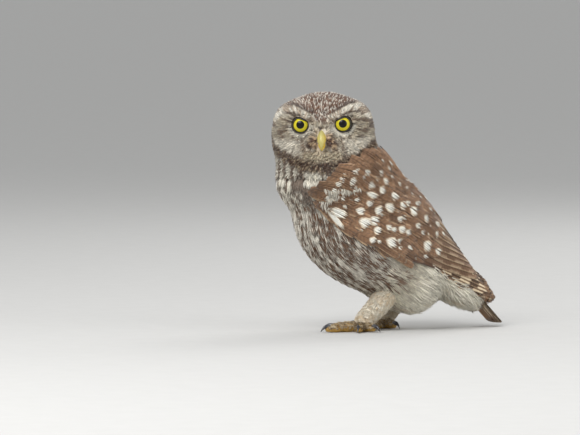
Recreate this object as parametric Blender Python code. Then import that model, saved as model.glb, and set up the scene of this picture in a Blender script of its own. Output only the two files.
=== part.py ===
"""A little owl standing on both feet, head turned to its left, as a life-size still model.

The owl faces -X, its left side is -Y and +Z is up. The floor is z = 0. Sizes are in
millimetres and become metres where a mesh is made.
"""

import math

import bmesh
import bpy
import numpy as np
from mathutils import Matrix

MM = 0.001
GAP = 0.32

# Head: a broad, low ellipsoid on a neck axis, turned to the owl's left and tipped a little.
HEAD_CENTRE = np.array([-27.4, 0.0, 138.9])
HEAD_HALF_WIDTH = 35.3
HEAD_FRONT = 25.5
HEAD_BACK = 30.0
HEAD_TOP = 29.8
HEAD_BOTTOM = 39.9
HEAD_TURN_DEG = 65.0
HEAD_ROLL_DEG = 1.5

# Face, in the head's own axes: across, forward and up from the head's centre.
EYE_ACROSS = 14.1
EYE_UP = 8.0
EYE_RADIUS = 7.4
EYE_FORWARD = 14.2
EYE_SPLAY_DEG = 4.0
LID_OPENING = 4.95
LID_THICK = 1.2
LID_WIDE = 1.0
EYE_BED = 1.1
BILL_TOP = 4.6
BILL_LENGTH = 15.0
BILL_WIDTH = 9.0

# Trunk lumps: centre x and z, tilt of the long axis above the horizontal, half length,
# half depth and half width. They blend into one another.
TRUNK = {
    "chest": ((5.6, 72.8), 27.1, (55.5, 39.9, 38.2)),
    "belly": ((30.2, 44.2), 48.3, (29.7, 26.3, 29.6)),
    "vent": ((63.7, 32.4), 28.7, (27.7, 6.7, 14.9)),
    "neck": ((-19.7, 110.6), 84.7, (29.8, 40.3, 36.6)),
}
TRUNK_BLEND = 9.0

# The folded wings close over the rump as a wedge: its axis from shoulder to tip as x and z,
# and its half depth and half width at either end.
WEDGE_LINE = np.array([(3.3, 92.0), (96.2, 24.5)])
WEDGE_DEPTH = (29.1, 1.8)
WEDGE_WIDTH = (37.3, 4.1)
WEDGE_SWELL = 1.25
WEDGE_BLEND = 8.0

# A wing is laid out along this axis inside the body, as x and z, which ends under the wing's tip.
# Along it: the radius that turns millimetres round the body into an angle, and the half width and
# half height of the blades that the wings' tips form behind the body.
WING_LINE = ((-36.0, 92.0), (101.0, 26.0))
WING_ROUND = ((0.0, 40.0, 90.0, 130.0, 152.0), (34.0, 37.0, 27.0, 13.0, 9.0))
WING_BLADE = ((0.0, 95.0, 125.0, 152.0), (0.0, 8.0, 5.5, 3.2))
WING_BLADE_HIGH = ((0.0, 95.0, 125.0, 152.0), (0.0, 14.0, 7.0, 2.2))

# The middle line of the body, tail end to crown, as x and z.
BODY_LINE = [(76.0, 26.5), (62.0, 37.0), (36.0, 52.0), (6.0, 76.0), (-17.0, 101.0),
             (-27.0, 121.0), (-29.4, 136.0), (-29.4, 142.0)]
TORSO_SPAN = (0.0, 0.56)
NECK_SPAN = (0.56, 0.695)

# Each wing is a shell over the body, from its inner to its outer level above the guide surface,
# inside this outline: along the wing's axis, and its lower and upper edge round the body.
SHELL_LEVELS = (1.35, 2.2)
SHELL_ALONG = (-8.0, -2.0, 6.0, 17.0, 40.0, 63.0, 80.0, 100.0, 112.0)
SHELL_LOW = (5.0, -2.0, -7.5, -11.5, -11.5, -10.5, -7.0, -5.5, -5.0)
SHELL_HIGH = (9.0, 15.0, 22.0, 31.0, 45.0, 50.0, 45.5, 36.0, 29.5)
WING_SLIDE = {1: 0.0, -1: 4.0}

# Feather tiers of a closed wing, from the lowest to the one on top: how many, the first and last
# tip and the first and last root along and round the wing, and the level at root and at tip.
TIERS = {
    "primaries": (5, (151.0, -3.5), (138.0, 12.0), (100.0, -5.0), (94.0, 9.0), (1.8, 1.8)),
    "secondaries": (6, (130.0, 8.0), (108.0, 28.0), (92.0, 1.0), (74.0, 24.0), (1.8, 2.6)),
    "tertials": (2, (105.0, 26.0), (93.0, 35.0), (82.0, 22.0), (70.0, 36.0), (1.8, 3.0)),
    "hand_coverts": (2, (71.0, -8.5), (57.0, -10.5), (52.0, -8.5), (38.0, -10.0), (1.8, 2.9)),
    "greater_coverts": (5, (58.0, -5.5), (90.0, 18.0), (40.0, -5.0), (68.0, 19.5), (1.8, 3.1)),
    "median_coverts": (4, (36.0, -7.0), (66.0, 11.0), (20.0, -6.5), (48.0, 13.0), (1.8, 3.2)),
    "scapulars": (4, (44.0, 11.0), (88.0, 32.0), (22.0, 13.0), (64.0, 36.0), (1.8, 3.6)),
}
VANE_ALONG = (0.0, 0.45, 0.84, 1.0)
VANE_WIDE = (0.9, 1.0, 0.8, 0.3)
VANE_OVERLAP = 0.66
VANE_THICK = 0.62
VANE_EDGE = 0.55
VANE_TILT = 0.6

# The tail lies under the wings' tips: its root and tip as x and z, and how its vanes spread.
TAIL_ROOT = (57.0, 60.5)
TAIL_TIP = (106.8, 6.9)
TAIL_PAIRS = 5
TAIL_SLAB = 0.3
TAIL_STEP = 0.62
TAIL_THICK = 0.7
TAIL_HALF_VANE = 4.3
TAIL_SPREAD = (0.3, 0.78)
TAIL_DROOP = 0.022

# Each leg: places down its middle line from inside the belly to the ankle, and its radius there.
LEGS = {
    1: (((25.5, -12.5, 45.0), 9.5), ((12.5, -12.5, 26.5), 7.8), ((3.6, -12.5, 17.0), 6.7),
        ((-3.6, -12.5, 10.0), 5.8)),
    -1: (((40.0, 12.5, 42.0), 9.0), ((33.2, 12.5, 24.0), 6.4), ((28.2, 12.5, 16.0), 5.4),
         ((24.0, 12.5, 10.0), 4.9)),
}
KNEE_SHARE = 0.42
FLOOR = 4.0
FOOT_HALF = (6.4, 5.6, 4.6)
TOE_SWELL = (1.3, 1.14, 1.12, 0.96, 1.0, 0.88, 0.6)
TOE_RADIUS = 3.1
# Toes 1 (the hind one) to 4 (the outer one): bearing on the floor in degrees from straight ahead
# towards the owl's left, and length without its claw.
TOES = {
    1: ((1, 108.0, 12.0), (2, -24.0, 19.0), (3, 7.0, 25.0), (4, 62.0, 15.5)),
    -1: ((1, 100.0, 12.0), (2, 40.0, 15.0), (3, -6.0, 20.0), (4, -80.0, 15.0)),
}
CLAW_LENGTH = 9.2
CLAW_RADIUS = 1.35

COLOURS = {
    "coat_brown": (0.20, 0.12, 0.07),
    "coat_pale": (0.62, 0.56, 0.45),
    "iris": (0.85, 0.68, 0.04),
    "lid": (0.02, 0.02, 0.02),
    "bill": (0.68, 0.62, 0.16),
    "toe": (0.55, 0.42, 0.20),
    "claw": (0.08, 0.08, 0.09),
}
ROUGHNESS = {"iris": 0.1, "lid": 0.5, "bill": 0.4, "claw": 0.35}


def turn_matrix(degrees, axis):
    """Rotation matrix about a unit axis, as an array."""
    a = math.radians(degrees)
    x, y, z = axis
    k = np.array([[0, -z, y], [z, 0, -x], [-y, x, 0]], float)
    return np.eye(3) + math.sin(a) * k + (1 - math.cos(a)) * (k @ k)


def head_axes():
    """Rows: the head's left, its forward and its up."""
    forward = turn_matrix(HEAD_TURN_DEG, (0, 0, 1)) @ np.array([-1.0, 0.0, 0.0])
    left = np.cross([0, 0, 1.0], forward)
    roll = turn_matrix(HEAD_ROLL_DEG, forward)
    return np.array([roll @ left, forward, roll @ np.array([0, 0, 1.0])])


HEAD_AXES = head_axes()


def to_head(p):
    return (p - HEAD_CENTRE) @ HEAD_AXES.T


def from_head(q):
    return np.asarray(q, float) @ HEAD_AXES + HEAD_CENTRE


def slope_axes(degrees):
    """Rows: along the body towards the head, dorsal, and the owl's left."""
    a = math.radians(degrees)
    return np.array([[-math.cos(a), 0, math.sin(a)], [math.sin(a), 0, math.cos(a)], [0, -1, 0]])


def ellipsoid(q, half):
    """About the distance from an ellipsoid's surface, for points in its own axes."""
    half = np.asarray(half, float)
    k0 = np.linalg.norm(q / half, axis=-1)
    k1 = np.linalg.norm(q / half ** 2, axis=-1)
    return k0 * (k0 - 1) / np.maximum(k1, 1e-9)


def blend(a, b, width):
    """The smaller of two distances, rounded where they are within width of each other."""
    h = np.clip(0.5 + 0.5 * (b - a) / width, 0, 1)
    return b * (1 - h) + a * h - width * h * (1 - h)


def bump(across, up, at, spread):
    return np.exp(-((across - at[0]) / spread[0]) ** 2 - ((up - at[1]) / spread[1]) ** 2)


def face_relief(q):
    """How far the face stands out from the plain ellipsoid: hollows round the eyes, brows, bill base."""
    across, forward, up = np.abs(q[..., 0]), q[..., 1], q[..., 2]
    hollow = -3.6 * bump(across, up, (EYE_ACROSS + 1.0, EYE_UP - 1.0), (8.5, 8.0))
    brow = 2.6 * bump(across, up - 0.32 * across, (12.0, 10.5), (13.0, 4.0))
    middle = 3.2 * bump(across, up, (0.0, 1.0), (4.5, 9.0))
    cheek = 1.6 * bump(across, up, (24.0, -9.0), (12.0, 8.0))
    corner = 2.2 * bump(across, up, (28.0, 17.0), (9.0, 9.0))
    return (hollow + brow + middle + cheek) * np.clip(forward / 14.0, 0, 1) + corner


def head_field(p):
    q = to_head(p)
    depth = np.where(q[..., 1:2] > 0, HEAD_FRONT, HEAD_BACK)
    height = np.where(q[..., 2:3] > 0, HEAD_TOP, HEAD_BOTTOM)
    half = np.concatenate([np.full_like(depth, HEAD_HALF_WIDTH), depth, height], -1)
    found = ellipsoid(q, half) - face_relief(q)
    for side in (1, -1):
        bed = np.linalg.norm(q - np.array([side * EYE_ACROSS, EYE_FORWARD, EYE_UP]), axis=-1)
        found = blend(found, bed - EYE_RADIUS - EYE_BED, 3.0)
    return found


def trunk_field(p):
    found = None
    for (x, z), tilt, half in TRUNK.values():
        d = ellipsoid((p - np.array([x, 0, z])) @ slope_axes(tilt).T, half)
        found = d if found is None else blend(found, d, TRUNK_BLEND)
    return found


def wedge_field(p):
    """About the distance from a tapered elliptic wedge with rounded ends."""
    start = np.array([WEDGE_LINE[0, 0], 0, WEDGE_LINE[0, 1]])
    end = np.array([WEDGE_LINE[1, 0], 0, WEDGE_LINE[1, 1]])
    length = np.linalg.norm(end - start)
    way = (end - start) / length
    dorsal = np.array([-way[2], 0, way[0]])
    q = p - start
    s = q @ way
    t = np.clip(s / length, 0, 1)
    depth = WEDGE_DEPTH[0] + (WEDGE_DEPTH[1] - WEDGE_DEPTH[0]) * t
    width = WEDGE_WIDTH[0] + (WEDGE_WIDTH[1] - WEDGE_WIDTH[0]) * t ** WEDGE_SWELL
    beyond = (s - t * length) / (0.5 * (depth + width))
    half = np.stack([depth, width], -1)
    flat = np.stack([q @ dorsal, q[..., 1]], -1)
    k0 = np.sqrt((flat / half) ** 2 @ np.ones(2) + beyond ** 2)
    k1 = np.sqrt((flat / half ** 2) ** 2 @ np.ones(2) + (beyond / half.mean(-1)) ** 2)
    return k0 * (k0 - 1) / np.maximum(k1, 1e-9)


def wing_guide(p):
    """The trunk together with the wedge that the wings close over: the wings lie on this."""
    return blend(trunk_field(p), wedge_field(p), WEDGE_BLEND)


def body_field(p):
    return blend(wing_guide(p), head_field(p), 7.0)


def reach(field, origin, direction, level=0.0, far=90.0):
    """How far along each ray the field first passes level, by halving the interval."""
    low = np.zeros(direction.shape[:-1])
    high = np.full(direction.shape[:-1], far)
    for _ in range(22):
        middle = (low + high) / 2
        inside = field(origin + direction * middle[..., None]) < level
        low = np.where(inside, middle, low)
        high = np.where(inside, high, middle)
    return (low + high) / 2


def wing_point(side, u, v, level):
    """A point over the closed wing: u along its axis and v round it in millimetres, from the shoulder
    and from the flank upwards, at a level above the surface that the wings lie on."""
    start = np.array([WING_LINE[0][0], 0, WING_LINE[0][1]])
    end = np.array([WING_LINE[1][0], 0, WING_LINE[1][1]])
    way = (end - start) / np.linalg.norm(end - start)
    dorsal = np.array([-way[2], 0, way[0]])
    u, v, level = np.broadcast_arrays(np.asarray(u, float), v, level)
    round_at = np.interp(u, *WING_ROUND)
    turn = v / round_at
    origin = start + u[..., None] * way
    out = np.stack([np.zeros_like(u), -side * np.ones_like(u), np.zeros_like(u)], -1)
    direction = np.cos(turn)[..., None] * out + np.sin(turn)[..., None] * dorsal
    r = reach(wing_guide, origin, direction)
    wall = np.interp(u, *WING_BLADE) / np.maximum(np.cos(turn), 0.05)
    r = np.maximum(r, np.minimum(wall, np.interp(u, *WING_BLADE_HIGH) / np.maximum(abs(np.sin(turn)), 0.05)))
    return origin + direction * (r + level)[..., None]


def along_curve(points, t):
    """A smooth curve through points (Catmull-Rom), read at t from 0 to 1: places and directions."""
    pts = np.asarray(points, float)
    pts = np.vstack([2 * pts[0] - pts[1], pts, 2 * pts[-1] - pts[-2]])
    x = np.clip(np.asarray(t, float), 0, 1) * (len(points) - 1)
    i = np.minimum(x.astype(int), len(points) - 2)
    u = (x - i)[..., None]
    a, b, c, d = pts[i], pts[i + 1], pts[i + 2], pts[i + 3]
    place = 0.5 * (2 * b + (c - a) * u + (2 * a - 5 * b + 4 * c - d) * u ** 2
                   + (3 * b - a - 3 * c + d) * u ** 3)
    way = 0.5 * ((c - a) + 2 * (2 * a - 5 * b + 4 * c - d) * u + 3 * (3 * b - a - 3 * c + d) * u ** 2)
    return place, way / np.linalg.norm(way, axis=-1, keepdims=True)


def material(colour):
    found = bpy.data.materials.get(colour)
    if found is None:
        found = bpy.data.materials.new(colour)
        found.use_nodes = True
        shader = found.node_tree.nodes["Principled BSDF"]
        shader.inputs["Base Color"].default_value = (*COLOURS[colour], 1)
        shader.inputs["Roughness"].default_value = ROUGHNESS.get(colour, 0.85)
    return found


def add_mesh(name, points, faces, colour):
    """A mesh object from points in millimetres, with its faces turned outwards."""
    mesh = bpy.data.meshes.new(name)
    mesh.from_pydata([tuple(p) for p in np.asarray(points, float) * MM], [], faces)
    bm = bmesh.new()
    bm.from_mesh(mesh)
    bmesh.ops.recalc_face_normals(bm, faces=bm.faces)
    bmesh.ops.triangulate(bm, faces=[f for f in bm.faces if len(f.verts) > 4])
    bm.to_mesh(mesh)
    bm.free()
    mesh.materials.append(material(colour))
    mesh.shade_smooth()
    obj = bpy.data.objects.new(name, mesh)
    bpy.context.scene.collection.objects.link(obj)
    return obj


def rings_solid(rings, start=None, end=None):
    """Points and faces of a closed solid of rings; each end is a fan to a point, or a flat cap."""
    rows, sides = rings.shape[:2]
    points = list(rings.reshape(-1, 3))
    faces = []
    for r in range(rows - 1):
        for s in range(sides):
            a, b = r * sides + s, r * sides + (s + 1) % sides
            faces.append((a, b, b + sides, a + sides))
    for base, tip in ((0, start), ((rows - 1) * sides, end)):
        if tip is None:
            tip = rings[0 if base == 0 else -1].mean(0)
        points.append(tip)
        last = len(points) - 1
        faces += [(base + s, base + (s + 1) % sides, last) for s in range(sides)]
    return np.array(points), faces


def body_rings(span, rows, sides, inset=0.0):
    """Rings of the body's outline round its middle line, square to that line."""
    t = np.linspace(*span, rows)
    place, way = along_curve(BODY_LINE, t)
    centre = np.stack([place[:, 0], np.zeros(rows), place[:, 1]], -1)
    dorsal = np.stack([way[:, 1], np.zeros(rows), -way[:, 0]], -1)
    turn = np.linspace(0, 2 * math.pi, sides, endpoint=False)
    left = np.array([0.0, -1.0, 0.0])
    direction = (np.cos(turn)[None, :, None] * dorsal[:, None] +
                 np.sin(turn)[None, :, None] * left)
    origin = np.broadcast_to(centre[:, None], direction.shape)
    r = reach(body_field, origin, direction) - inset
    return origin + direction * r[..., None], way


def turned_rings(centre, way, field, sides, angles):
    """Rings that swing from square to way round to way itself, to close an end smoothly."""
    way = np.array([way[0], 0.0, way[1]])
    dorsal = np.array([way[2], 0.0, -way[0]])
    left = np.array([0.0, -1.0, 0.0])
    turn = np.linspace(0, 2 * math.pi, sides, endpoint=False)
    flat = np.cos(turn)[:, None] * dorsal + np.sin(turn)[:, None] * left
    direction = (np.cos(angles)[:, None, None] * flat + np.sin(angles)[:, None, None] * way)
    origin = np.broadcast_to(centre, direction.shape)
    rings = origin + direction * reach(field, origin, direction)[..., None]
    tip = centre + way * reach(field, centre[None], way[None])[0]
    return rings, tip


def shifted_span(span, shorten_start, shorten_end):
    """The span with its ends drawn in by a length in millimetres."""
    fine = np.linspace(0, 1, 400)
    place, _ = along_curve(BODY_LINE, fine)
    run = np.concatenate([[0], np.cumsum(np.linalg.norm(np.diff(place, axis=0), axis=1))])
    start = np.interp(np.interp(span[0], fine, run) + shorten_start, run, fine)
    end = np.interp(np.interp(span[1], fine, run) - shorten_end, run, fine)
    return start, end


def make_torso():
    sides = 36
    rings, way = body_rings(TORSO_SPAN, 20, sides)
    first, tangent = along_curve(BODY_LINE, np.array([0.0]))
    centre = np.array([first[0, 0], 0, first[0, 1]])
    swing = np.linspace(math.radians(68), math.radians(18), 4)
    caps, tip = turned_rings(centre, -tangent[0], body_field, sides, swing)
    # The swung rings run the other way round, because their axis points back along the line.
    caps = caps[:, (sides // 2 - np.arange(sides)) % sides]
    return add_mesh("torso", *rings_solid(np.concatenate([caps, rings]), start=tip), "coat_brown")


def make_neck():
    rings, _ = body_rings(shifted_span(NECK_SPAN, GAP, 0), 6, 36)
    return add_mesh("neck", *rings_solid(rings), "coat_brown")


def make_head():
    sides = 40
    rings, _ = body_rings(shifted_span((NECK_SPAN[1], 1.0), GAP, 0), 8, sides)
    swing = np.radians(np.array([8, 15, 22, 30, 39, 49, 60, 71, 81]))
    caps, tip = turned_rings(HEAD_CENTRE, np.array([0.0, 1.0]), body_field, sides, swing)
    return add_mesh("head", *rings_solid(np.concatenate([rings, caps]), end=tip), "coat_pale")


def boolean(obj, other, operation, solver="MANIFOLD"):
    """Applies one Boolean to obj and removes the other object or collection."""
    modifier = obj.modifiers.new(operation, "BOOLEAN")
    modifier.operation = operation
    modifier.solver = solver
    if isinstance(other, bpy.types.Collection):
        modifier.operand_type = "COLLECTION"
        modifier.collection = other
    else:
        modifier.object = other
    bpy.context.view_layer.update()
    graph = bpy.context.evaluated_depsgraph_get()
    mesh = bpy.data.meshes.new_from_object(obj.evaluated_get(graph))
    obj.modifiers.clear()
    obj.data = mesh
    mesh.name = obj.name
    if isinstance(other, bpy.types.Collection):
        for piece in list(other.objects):
            bpy.data.objects.remove(piece)
        bpy.data.collections.remove(other)
    else:
        bpy.data.objects.remove(other)
    return obj


def keep_largest(obj):
    """Keeps the closed surface of greatest volume: fills sealed hollows and drops scraps."""
    bm = bmesh.new()
    bm.from_mesh(obj.data)
    bmesh.ops.triangulate(bm, faces=bm.faces)
    bm.faces.ensure_lookup_table()
    seen, groups = set(), []
    for face in bm.faces:
        if face.index in seen:
            continue
        stack, group = [face], []
        seen.add(face.index)
        while stack:
            f = stack.pop()
            group.append(f)
            for edge in f.edges:
                for g in edge.link_faces:
                    if g.index not in seen:
                        seen.add(g.index)
                        stack.append(g)
        volume = sum(f.verts[0].co.dot(f.verts[1].co.cross(f.verts[2].co)) for f in group)
        groups.append((volume, group))
    groups.sort(key=lambda entry: entry[0])
    spare = [f for _, group in groups[:-1] for f in group]
    bmesh.ops.delete(bm, geom=spare, context="FACES")
    bm.to_mesh(obj.data)
    bm.free()
    return obj


def fuse(core, pieces, solver="MANIFOLD"):
    """Joins closed pieces to the core by one Boolean union."""
    group = bpy.data.collections.new(core.name + "_pieces")
    bpy.context.scene.collection.children.link(group)
    for piece in pieces:
        for holder in piece.users_collection:
            holder.objects.unlink(piece)
        group.objects.link(piece)
    return keep_largest(boolean(core, group, "UNION", solver))


def cut(obj, cutter, solver="MANIFOLD"):
    return keep_largest(boolean(obj, cutter, "DIFFERENCE", solver))


def ball(centre, half, axes, rows, sides):
    """Rings and two poles of an ellipsoid with the given axes as rows; poles on the last axis."""
    up = np.linspace(-math.pi / 2, math.pi / 2, rows + 2)[1:-1]
    turn = np.linspace(0, 2 * math.pi, sides, endpoint=False)
    q = np.stack([np.cos(up)[:, None] * np.cos(turn), np.cos(up)[:, None] * np.sin(turn),
                  np.broadcast_to(np.sin(up)[:, None], (rows, sides))], -1)
    half = np.asarray(half, float)
    poles = np.array([[0, 0, -1.0], [0, 0, 1.0]])
    place = lambda v: (v * half) @ axes + centre
    return place(q), place(poles)


def add_ball(name, centre, half, axes, colour, rows=9, sides=16):
    rings, poles = ball(np.asarray(centre, float), half, axes, rows, sides)
    return add_mesh(name, *rings_solid(rings, start=poles[0], end=poles[1]), colour)


def tube_rings(path, radii, sides, flat=1.0):
    """Rings round a path; radii across and upright can differ by flat. Upright is nearest +Z."""
    path = np.asarray(path, float)
    way = np.gradient(path, axis=0)
    way /= np.linalg.norm(way, axis=1, keepdims=True)
    across = np.cross(way, [0, 0, 1.0])
    across /= np.maximum(np.linalg.norm(across, axis=1, keepdims=True), 1e-6)
    upright = np.cross(across, way)
    turn = np.linspace(0, 2 * math.pi, sides, endpoint=False)
    r = np.asarray(radii, float)[:, None, None]
    return (path[:, None] + r * (np.cos(turn)[None, :, None] * across[:, None]
            + flat * np.sin(turn)[None, :, None] * upright[:, None]))


def eye_axes(side):
    """Rows: across, up and the way the eye looks, in the world."""
    splay = turn_matrix(-side * EYE_SPLAY_DEG, (0, 0, 1))
    look = splay @ np.array([0, 1.0, 0])
    across = splay @ np.array([1.0, 0, 0])
    return np.array([across, [0, 0, 1.0], look]) @ HEAD_AXES


def eye_centre(side):
    return from_head([side * EYE_ACROSS, EYE_FORWARD, EYE_UP])


def lid_path(side, grow, steps=18):
    """The rim of the lids, in the eye's axes: round below and drawn in along a slanting top."""
    turn = np.linspace(0, 2 * math.pi, steps, endpoint=False)
    r = LID_OPENING + grow
    across, up = r * np.cos(turn), r * np.sin(turn)
    lowered = 4.1 + grow + 0.30 * side * across
    up = np.where(up > lowered, lowered + 0.25 * (up - lowered), up)
    return across, up


def make_lids(side, name):
    """A closed ring that follows the lids' rim on the eyeball, thick enough to fill the socket's edge."""
    rows = []
    seat = EYE_RADIUS + GAP
    profile = ((0.0, 0.0), (0.1, LID_THICK * 0.7), (0.55, LID_THICK), (LID_WIDE, 0.5), (0.9, 0.0))
    for grow, rise in profile:
        across, up = lid_path(side, grow)
        reach_out = np.sqrt(np.maximum(seat ** 2 - across ** 2 - up ** 2, 9.0)) + rise
        rows.append(np.stack([across, up, reach_out], -1))
    rings = np.stack(rows, 1) @ eye_axes(side) + eye_centre(side)
    steps, sides = rings.shape[:2]
    faces = []
    for i in range(steps):
        j = (i + 1) % steps
        for k in range(sides):
            m = (k + 1) % sides
            faces.append((i * sides + k, i * sides + m, j * sides + m, j * sides + k))
    return add_mesh(name, rings.reshape(-1, 3), faces, "lid")


def make_eyes(head):
    for side, name in ((1, "left"), (-1, "right")):
        axes, centre = eye_axes(side), eye_centre(side)
        add_ball("eye_" + name, centre, (EYE_RADIUS,) * 3, axes, "iris", rows=6, sides=14)
        turn = np.linspace(0, 2 * math.pi, 18, endpoint=False)
        across, up = lid_path(side, LID_WIDE + GAP)
        well = np.stack([np.stack([across, up, np.full_like(turn, z)], -1) for z in (2.0, 16.0)])
        well = well @ axes + centre
        cut(head, add_mesh("well", *rings_solid(well), "lid"))
        socket = EYE_RADIUS + GAP
        cut(head, add_ball("socket", centre, (socket,) * 3, axes, "lid", rows=10, sides=20))
        make_lids(side, "eyelids_" + name)


def bill_rings(grow):
    """The upper bill as rings along its ridge, from inside the face, out and down to the hooked tip."""
    line = np.array([(19.0, BILL_TOP - 1.5), (24.5, BILL_TOP + 0.2), (28.6, BILL_TOP - 2.6),
                     (30.9, BILL_TOP - 7.0), (31.0, BILL_TOP - 11.0),
                     (29.6, BILL_TOP - BILL_LENGTH + 0.6)])
    half_width = np.array([3.4, 3.9, 3.9, 3.0, 1.8, 0.5]) * BILL_WIDTH / 8.0 + grow
    depth = np.array([6.0, 7.0, 6.4, 5.0, 3.2, 0.9]) + grow
    way = np.gradient(line, axis=0)
    way /= np.linalg.norm(way, axis=1, keepdims=True)
    inward = np.stack([way[:, 1], -way[:, 0]], -1)
    turn = np.linspace(0, 2 * math.pi, 10, endpoint=False)
    rows = []
    for (fwd, up), w, d, n in zip(line, half_width, depth, inward):
        ridge = 0.5 * (1 + np.cos(turn))
        inn = (1 - ridge) * d - ridge * grow
        across = w * np.sin(turn) * (0.55 + 0.45 * (1 - ridge))
        rows.append(np.stack([across, fwd + n[0] * inn, up + n[1] * inn], -1))
    return from_head(np.array(rows))


def lower_bill_rings(grow):
    """The lower bill as rings from inside the face to its tip, just behind the hook."""
    line = np.array([(19.0, BILL_TOP - 6.6), (22.6, BILL_TOP - 8.8),
                     (25.4, BILL_TOP - 11.6), (27.0 + grow, BILL_TOP - 13.8 - grow)])
    turn = np.linspace(0, 2 * math.pi, 10, endpoint=False)
    rows = []
    for (fwd, up), w, d in zip(line, (3.3, 3.0, 2.1, 0.7), (1.7, 1.6, 1.1, 0.4)):
        height = (d + grow) * np.sin(turn)
        rows.append(np.stack([(w + grow) * np.cos(turn), fwd + height, up + height], -1))
    return from_head(np.array(rows))


def make_bill(head):
    upper = add_mesh("bill_upper", *rings_solid(bill_rings(0.0)), "bill")
    for side in (1, -1):
        place = from_head([side * 3.9, 27.3, BILL_TOP - 2.6])
        cut(upper, add_ball("nostril", place, (0.9, 0.8, 1.2), HEAD_AXES, "bill", rows=3, sides=8))
    mandible = add_mesh("bill_lower", *rings_solid(lower_bill_rings(0.0)), "bill")
    cut(mandible, add_mesh("room", *rings_solid(bill_rings(GAP)), "bill"))
    cut(head, add_mesh("room", *rings_solid(bill_rings(GAP)), "bill"))
    cut(head, add_mesh("room", *rings_solid(lower_bill_rings(GAP)), "bill"))


def shell_grid(side):
    """The wing's plain shell as a closed block of points: along, round, and inner to outer."""
    along = np.concatenate([np.linspace(SHELL_ALONG[0], 20, 5), np.linspace(32, SHELL_ALONG[-1], 7)])
    share = np.linspace(0, 1, 8)
    low = np.interp(along, SHELL_ALONG, SHELL_LOW)[:, None]
    high = np.interp(along, SHELL_ALONG, SHELL_HIGH)[:, None]
    u = np.broadcast_to(along[:, None], (len(along), len(share)))
    v = low + (high - low) * share
    return wing_sheet(side, u, v, np.full(u.shape, np.mean(SHELL_LEVELS)),
                      np.full(u.shape, SHELL_LEVELS[1] - SHELL_LEVELS[0]))


def wing_sheet(side, u, v, level, thick):
    """Upper and lower points of a sheet over the wing, kept off the middle plane."""
    u = u + WING_SLIDE[side] * np.clip((u - 60.0) / 60.0, 0, 1)
    sheet = np.stack([wing_point(side, u, v, level + thick / 2),
                      wing_point(side, u, v, level - thick / 2)])
    sheet[..., 1] = -side * np.maximum(-side * sheet[..., 1], GAP)
    return sheet


def sheet_solid(sheet):
    """Points and faces of a closed sheet: both faces are cut along the same diagonals."""
    _, rows, columns, _ = sheet.shape
    at = lambda face, r, c: face * rows * columns + r * columns + c
    faces = []
    for r in range(rows - 1):
        for c in range(columns - 1):
            for face in (0, 1):
                a, b = at(face, r, c), at(face, r, c + 1)
                d, e = at(face, r + 1, c), at(face, r + 1, c + 1)
                faces += [(a, b, e), (a, e, d)] if face == 0 else [(a, e, b), (a, d, e)]
    rim = [(0, c) for c in range(columns)] + [(r, columns - 1) for r in range(1, rows)]
    rim += [(rows - 1, c) for c in range(columns - 2, -1, -1)] + [(r, 0) for r in range(rows - 2, 0, -1)]
    for (r, c), (m, n) in zip(rim, rim[1:] + rim[:1]):
        faces += [(at(0, r, c), at(1, r, c), at(1, m, n)), (at(0, r, c), at(1, m, n), at(0, m, n))]
    return sheet.reshape(-1, 3), faces


def vane_grid(root, tip, half_width, columns=2):
    """Places of a vane laid flat: along it, across it, and the share across from -1 to 1."""
    root, tip = np.asarray(root, float), np.asarray(tip, float)
    way = (tip - root) / np.linalg.norm(tip - root)
    across = np.array([-way[1], way[0]])
    share = np.linspace(-1, 1, columns)
    along = np.array(VANE_ALONG)[:, None]
    wide = (half_width * np.array(VANE_WIDE))[:, None]
    place = root + (tip - root) * along[..., None] + across * (wide * share)[..., None]
    return place[..., 0], place[..., 1], along, np.broadcast_to(share, wide.shape[:1] + share.shape)


def wing_vanes(side):
    for name, (count, tip_0, tip_1, root_0, root_1, levels) in TIERS.items():
        tips = np.linspace(tip_0, tip_1, count)
        roots = np.linspace(root_0, root_1, count)
        for k in range(count):
            step = (tips[1] - tips[0] + roots[1] - roots[0]) / 2
            way = (tips[k] - roots[k]) / np.linalg.norm(tips[k] - roots[k])
            half_width = VANE_OVERLAP * abs(step[0] * way[1] - step[1] * way[0])
            u, v, along, across = vane_grid(roots[k], tips[k], half_width)
            level = levels[0] + (levels[1] - levels[0]) * np.sqrt(along) - VANE_TILT * across
            thick = VANE_THICK - (VANE_THICK - VANE_EDGE) * along * np.ones_like(across)
            yield add_mesh(f"{name}_{k}", *sheet_solid(wing_sheet(side, u, v, level, thick)),
                           "coat_brown")


def make_wing(side, name):
    shell = add_mesh(name, *sheet_solid(shell_grid(side)), "coat_brown")
    return fuse(shell, list(wing_vanes(side)))


def tail_point(s, w, level):
    """A point over the tail: s along it and w across it in millimetres, and a level above it."""
    root = np.array([TAIL_ROOT[0], 0, TAIL_ROOT[1]])
    way = np.array([TAIL_TIP[0], 0, TAIL_TIP[1]]) - root
    way /= np.linalg.norm(way)
    dorsal = np.array([-way[2], 0, way[0]])
    s, w, level = np.broadcast_arrays(np.asarray(s, float), w, level)
    across = np.stack([np.zeros_like(w), w, np.zeros_like(w)], -1)
    return root + s[..., None] * way + across + (level - TAIL_DROOP * w ** 2)[..., None] * dorsal


def tail_sheet(s, w, top, bottom):
    return np.stack([tail_point(s, w, top), tail_point(s, w, bottom)])


def tail_length():
    return math.hypot(TAIL_TIP[0] - TAIL_ROOT[0], TAIL_TIP[1] - TAIL_ROOT[1])


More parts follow.
